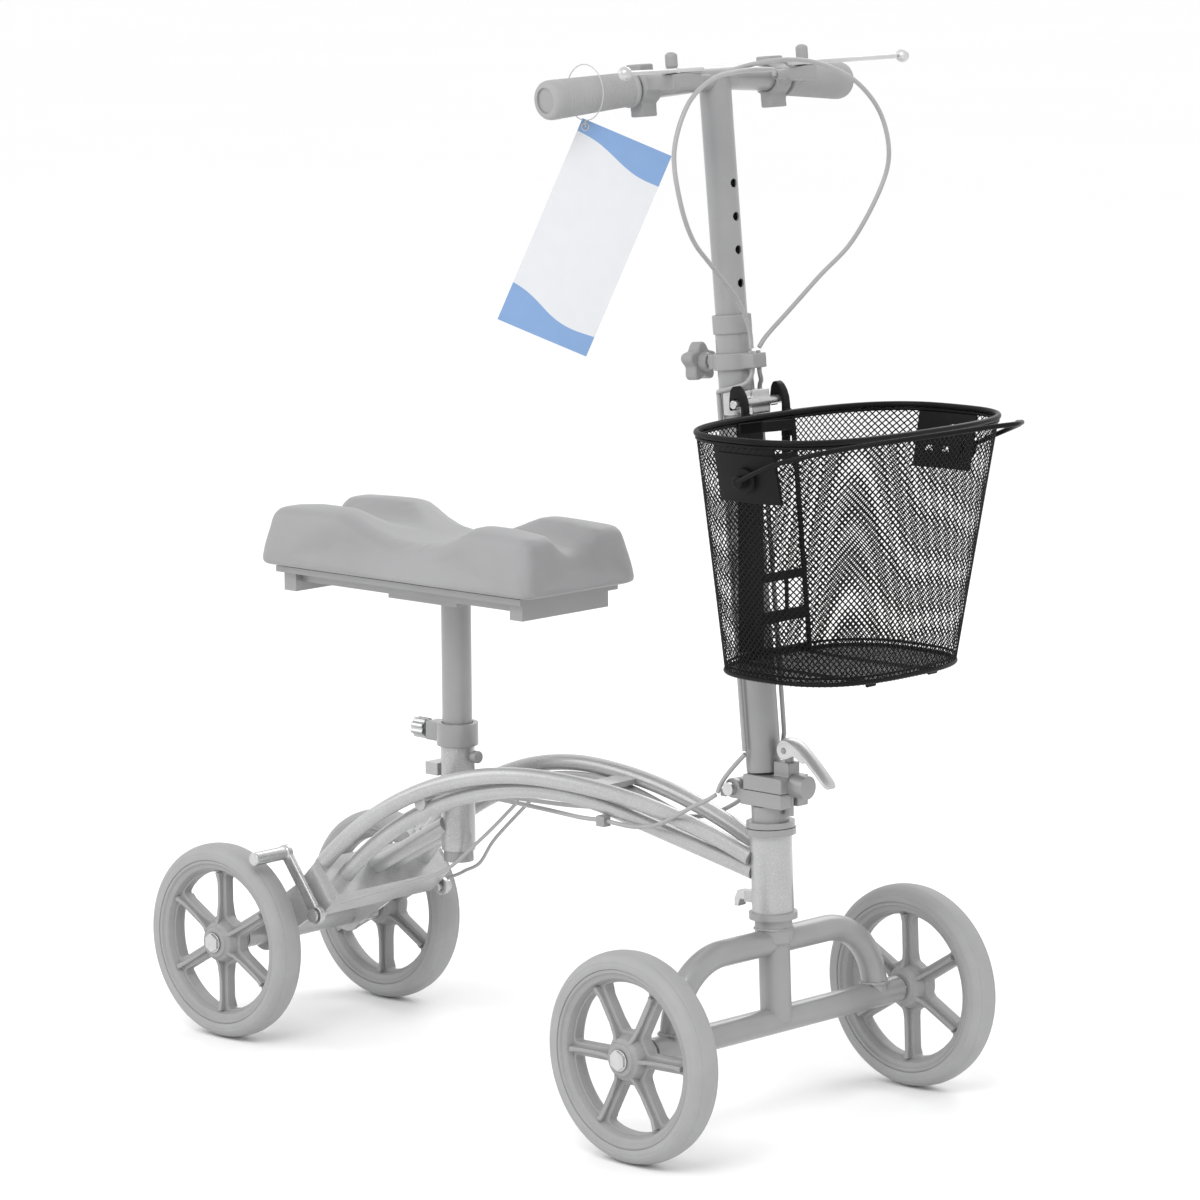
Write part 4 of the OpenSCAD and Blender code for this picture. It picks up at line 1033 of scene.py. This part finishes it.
NX, NZ = 16, 34
V, F = [], []
for side in (-1, 1):
    for i in range(NX + 1):
        for j in range(NZ + 1):
            a, c = -5 + 84 * i / NX, -184 + 190 * j / NZ
            curl = 1.1 * ((i / NX - 0.5) * 2) ** 2 * (1 - j / NZ) - 0.5 * math.sin(math.pi * j / NZ)
            V.append(card_pt(a, 0.22 * side + curl, c))
k = (NX + 1) * (NZ + 1)
idx = lambda s, i, j: s * k + i * (NZ + 1) + j
for i in range(NX):
    for j in range(NZ):
        F.append((idx(0, i, j), idx(0, i + 1, j), idx(0, i + 1, j + 1), idx(0, i, j + 1)))
        F.append((idx(1, i, j), idx(1, i, j + 1), idx(1, i + 1, j + 1), idx(1, i + 1, j)))
for i in range(NX):
    F.append((idx(0, i, 0), idx(1, i, 0), idx(1, i + 1, 0), idx(0, i + 1, 0)))
    F.append((idx(0, i, NZ), idx(0, i + 1, NZ), idx(1, i + 1, NZ), idx(1, i, NZ)))
for j in range(NZ):
    F.append((idx(0, 0, j), idx(0, 0, j + 1), idx(1, 0, j + 1), idx(1, 0, j)))
    F.append((idx(0, NX, j), idx(1, NX, j), idx(1, NX, j + 1), idx(0, NX, j + 1)))
o = card_pt(-5, 0, -184)
ax = (card_pt(79, 0, -184) - o)
az = (card_pt(-5, 0, 6) - o)
M_CARD = card_material(o, ax / np.dot(ax, ax), az / np.dot(az, az))
tag = make("tag_card", V, F, M_CARD, "tag", ["hang_tag"], angle=30)
s2 = rad(-6.2)
ring = []
for i in range(64):
    a = 2 * math.pi * i / 64
    wx, wz = 24.2 * math.cos(a), 24.2 * math.sin(a)
    ring.append(W(TP[0] + wx * math.cos(s2), TP[1] + wx * math.sin(s2), TP[2] + wz))
parts = [tube_geo(ring, 0.00045, 8, closed=True)]
parts.append(tube_geo([W(TP[0], TP[1], 908.4), W(TP[0] + 0.3, TP[1] - 0.6, 905), card_pt(0, -0.9, 1.2), card_pt(0, 0.9, -0.6)], 0.0007, 8))
c0 = [card_pt(3.1 * math.cos(q), -0.5, 3.1 * math.sin(q)) for q in np.linspace(0, 2 * math.pi, 24, endpoint=False)]
parts.append(tube_geo(c0, 0.0006, 8, closed=True))
V, F = join_geo(parts)
M_STRING = material("tag_string", G(0.40), G(0.48), rough=(0.6, 0.75), grain=2400, grain_bump=0.4, bump_dist=0.0001)
make("tag_string_loop", V, F, M_STRING, "tag", angle=60)

# ---------- knee cushion: foam skin inflated by cloth ----------
SZ = 460.5
L2, B2 = 183.0, 78.5
CX = 14.5 + L2


def top_z(x, y):
    k = 2.2
    s = [56.4]
    dx = x - 203
    if abs(dx) < 150:
        s.append(194.5 - math.sqrt(162 ** 2 - dx * dx))
    if abs(y) < 33:
        s.append(73.5 - math.sqrt(34.5 ** 2 - y * y))
    m = min(s)
    return m - k * math.log(sum(math.exp(-(v - m) / k) for v in s))


def plan(inset, cr_, n=160):
    """Rounded rectangle of the cushion's outline, walked at equal steps."""
    hx, hy = L2 - inset, B2 - inset
    r = max(cr_, 1.0)
    pts = []
    for (sx, sy, a0) in ((1, 1, 0), (-1, 1, 90), (-1, -1, 180), (1, -1, 270)):
        for q in range(13):
            a = rad(a0 + 90 * q / 12)
            pts.append((sx * (hx - r) + r * math.cos(a), sy * (hy - r) + r * math.sin(a)))
    pts = np.array(pts + [pts[0]])
    d = np.concatenate([[0], np.cumsum(np.hypot(*np.diff(pts, axis=0).T))])
    u = np.linspace(0, d[-1], n, endpoint=False)
    return np.stack([np.interp(u, d, pts[:, 0]), np.interp(u, d, pts[:, 1])], 1)


N = 160
R = 13.0
rings = []
IN0 = 1.6
rings.append([(p[0], p[1], 0.8) for p in plan(IN0 + 2.5, 12)])
rings.append([(p[0], p[1], 1.6) for p in plan(IN0 + 0.5, 13)])
for f in (0.06, 0.2, 0.4, 0.6, 0.8, 1.0):
    ins = IN0 + 0.2 + 7.2 * f ** 1.3
    rings.append([(p[0], p[1], 3 + f * (top_z(CX + p[0], p[1]) - R - 3)) for p in plan(ins, 14)])
for q in range(1, 7):
    a = rad(90 * q / 6)
    ins = IN0 + 7.4 + R * (1 - math.cos(a))
    rings.append([(p[0], p[1], top_z(CX + p[0], p[1]) - R + R * math.sin(a)) for p in plan(ins, max(15 - R * (1 - math.cos(a)), 5))])
edge = plan(IN0 + 7.4 + R, 5)
for sc in np.linspace(0.95, 0.05, 22):
    rings.append([(p[0] * sc, p[1] * sc, top_z(CX + p[0] * sc, p[1] * sc)) for p in edge])
V = [W(CX + x, y, SZ + z) for rg in rings for (x, y, z) in rg]
F = [(i * N + j, i * N + (j + 1) % N, (i + 1) * N + (j + 1) % N, (i + 1) * N + j) for i in range(len(rings) - 1) for j in range(N)]
V.append(W(CX, 0, SZ + top_z(CX, 0)))
V.append(W(CX, 0, SZ + 0.8))
F += [((len(rings) - 1) * N + j, (len(rings) - 1) * N + (j + 1) % N, len(V) - 2) for j in range(N)]
F += [((j + 1) % N, j, len(V) - 1) for j in range(N)]
cushion = make("knee_cushion", V, F, M_VINYL, smooth=True, angle=180)


def inflate(ob, voxel=0.005, pressure=4.0, cap=0.0035):
    bpy.context.view_layer.objects.active = ob
    ob.select_set(True)
    md = ob.modifiers.new("remesh", "REMESH")
    md.mode = "VOXEL"
    md.voxel_size = voxel
    md.use_smooth_shade = True
    bpy.ops.object.modifier_apply(modifier=md.name)
    co0 = np.array([v.co for v in ob.data.vertices])
    low = co0[:, 2].min()
    vg = ob.vertex_groups.new(name="pin")
    vg.add([int(i) for i in np.where(co0[:, 2] < low + 0.004)[0]], 1.0, "REPLACE")
    cl = ob.modifiers.new("cloth", "CLOTH")
    st = cl.settings
    st.quality = 6
    st.mass = 0.25
    st.tension_stiffness = 25
    st.compression_stiffness = 25
    st.shear_stiffness = 12
    st.bending_stiffness = 4
    st.use_pressure = True
    st.uniform_pressure_force = pressure
    st.effector_weights.gravity = 0
    st.vertex_group_mass = "pin"
    cl.collision_settings.use_collision = False
    cl.point_cache.frame_start = 1
    cl.point_cache.frame_end = 20
    for fr in range(1, 21):
        scene.frame_set(fr)
    dg = bpy.context.evaluated_depsgraph_get()
    ev = ob.evaluated_get(dg)
    co1 = np.array([v.co for v in ev.data.vertices])
    ob.modifiers.remove(cl)
    scene.frame_set(1)
    d = co1 - co0
    ln = np.linalg.norm(d, axis=1, keepdims=True)
    d = d * np.minimum(1, cap / np.maximum(ln, 1e-9))
    co = co0 + d
    ob.data.vertices.foreach_set("co", co.astype(np.float32).ravel())
    ob.data.update()


inflate(cushion)
md = cushion.modifiers.new("sub", "SUBSURF")
md.levels = md.render_levels = 1
bpy.context.view_layer.objects.active = cushion
bpy.ops.object.modifier_apply(modifier=md.name)
co = np.array([v.co for v in cushion.data.vertices])
co[:, 2] = np.maximum(co[:, 2], (SZ + 0.4) / 1000)
blo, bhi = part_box("seat_cushion")
for ax_ in (0, 1):
    co[:, ax_] = np.clip(co[:, ax_], blo[ax_] - 0.001, bhi[ax_] + 0.001)
cushion.data.vertices.foreach_set("co", co.astype(np.float32).ravel())
for p in cushion.data.polygons:
    p.use_smooth = True
cushion.data.update()
for g in list(cushion.vertex_groups):
    cushion.vertex_groups.remove(g)
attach(cushion, "seat")
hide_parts("seat_cushion")

# ---------- floor, light, camera ----------
fl = bpy.data.meshes.new("floor")
fl.from_pydata([(-30, -30, 0), (30, -30, 0), (30, 30, 0), (-30, 30, 0)], [], [(0, 1, 2, 3)])
floor = bpy.data.objects.new("floor", fl)
scene.collection.objects.link(floor)
M_FLOOR = material("studio_floor", G(0.93), G(0.94), rough=(0.85, 0.9), cloud=0.5, grain=20, grain_bump=0.02)
fl.materials.append(M_FLOOR)
floor.location.z = -0.0005

w = bpy.data.worlds.new("studio")
scene.world = w
w.use_nodes = True
bgn = w.node_tree.nodes.get("Background")
bgn.inputs[0].default_value = (1, 1, 1, 1)
bgn.inputs[1].default_value = 1.06


def area(name, loc, target, size, power):
    l = bpy.data.lights.new(name, "AREA")
    l.shape = "RECTANGLE"
    l.size, l.size_y = size
    l.energy = power
    o_ = bpy.data.objects.new(name, l)
    scene.collection.objects.link(o_)
    o_.location = loc
    d = Vector(target) - Vector(loc)
    o_.rotation_euler = d.to_track_quat("-Z", "Y").to_euler()


area("key", (1.2, -2.2, 2.9), (0, 0, 0.4), (2.0, 1.4), 42)
area("fill", (-2.4, -1.8, 1.8), (0, 0, 0.4), (1.8, 1.8), 16)
area("back", (-0.8, 2.6, 2.4), (0, 0, 0.4), (2.0, 1.2), 22)

cam = bpy.data.cameras.new("photo_camera")
cam.sensor_fit = "HORIZONTAL"
cam.sensor_width = 36
cam.lens = 149.28
cam.clip_start = 0.1
cam.clip_end = 60
co_ = bpy.data.objects.new("photo_camera", cam)
scene.collection.objects.link(co_)
right = Vector((0.73297, 0.68023, -0.00681))
down = Vector((0.1028, -0.12066, -0.98736))
fwd = Vector((-0.67245, 0.723, -0.15837))
m3 = Matrix((right, -down, -fwd)).transposed()
co_.matrix_world = Matrix.Translation(Vector((3.4730 + SX / 1000, -3.3078, 1.1808))) @ m3.to_4x4()
scene.camera = co_
scene.view_settings.view_transform = "Standard"
scene.view_settings.look = "None"
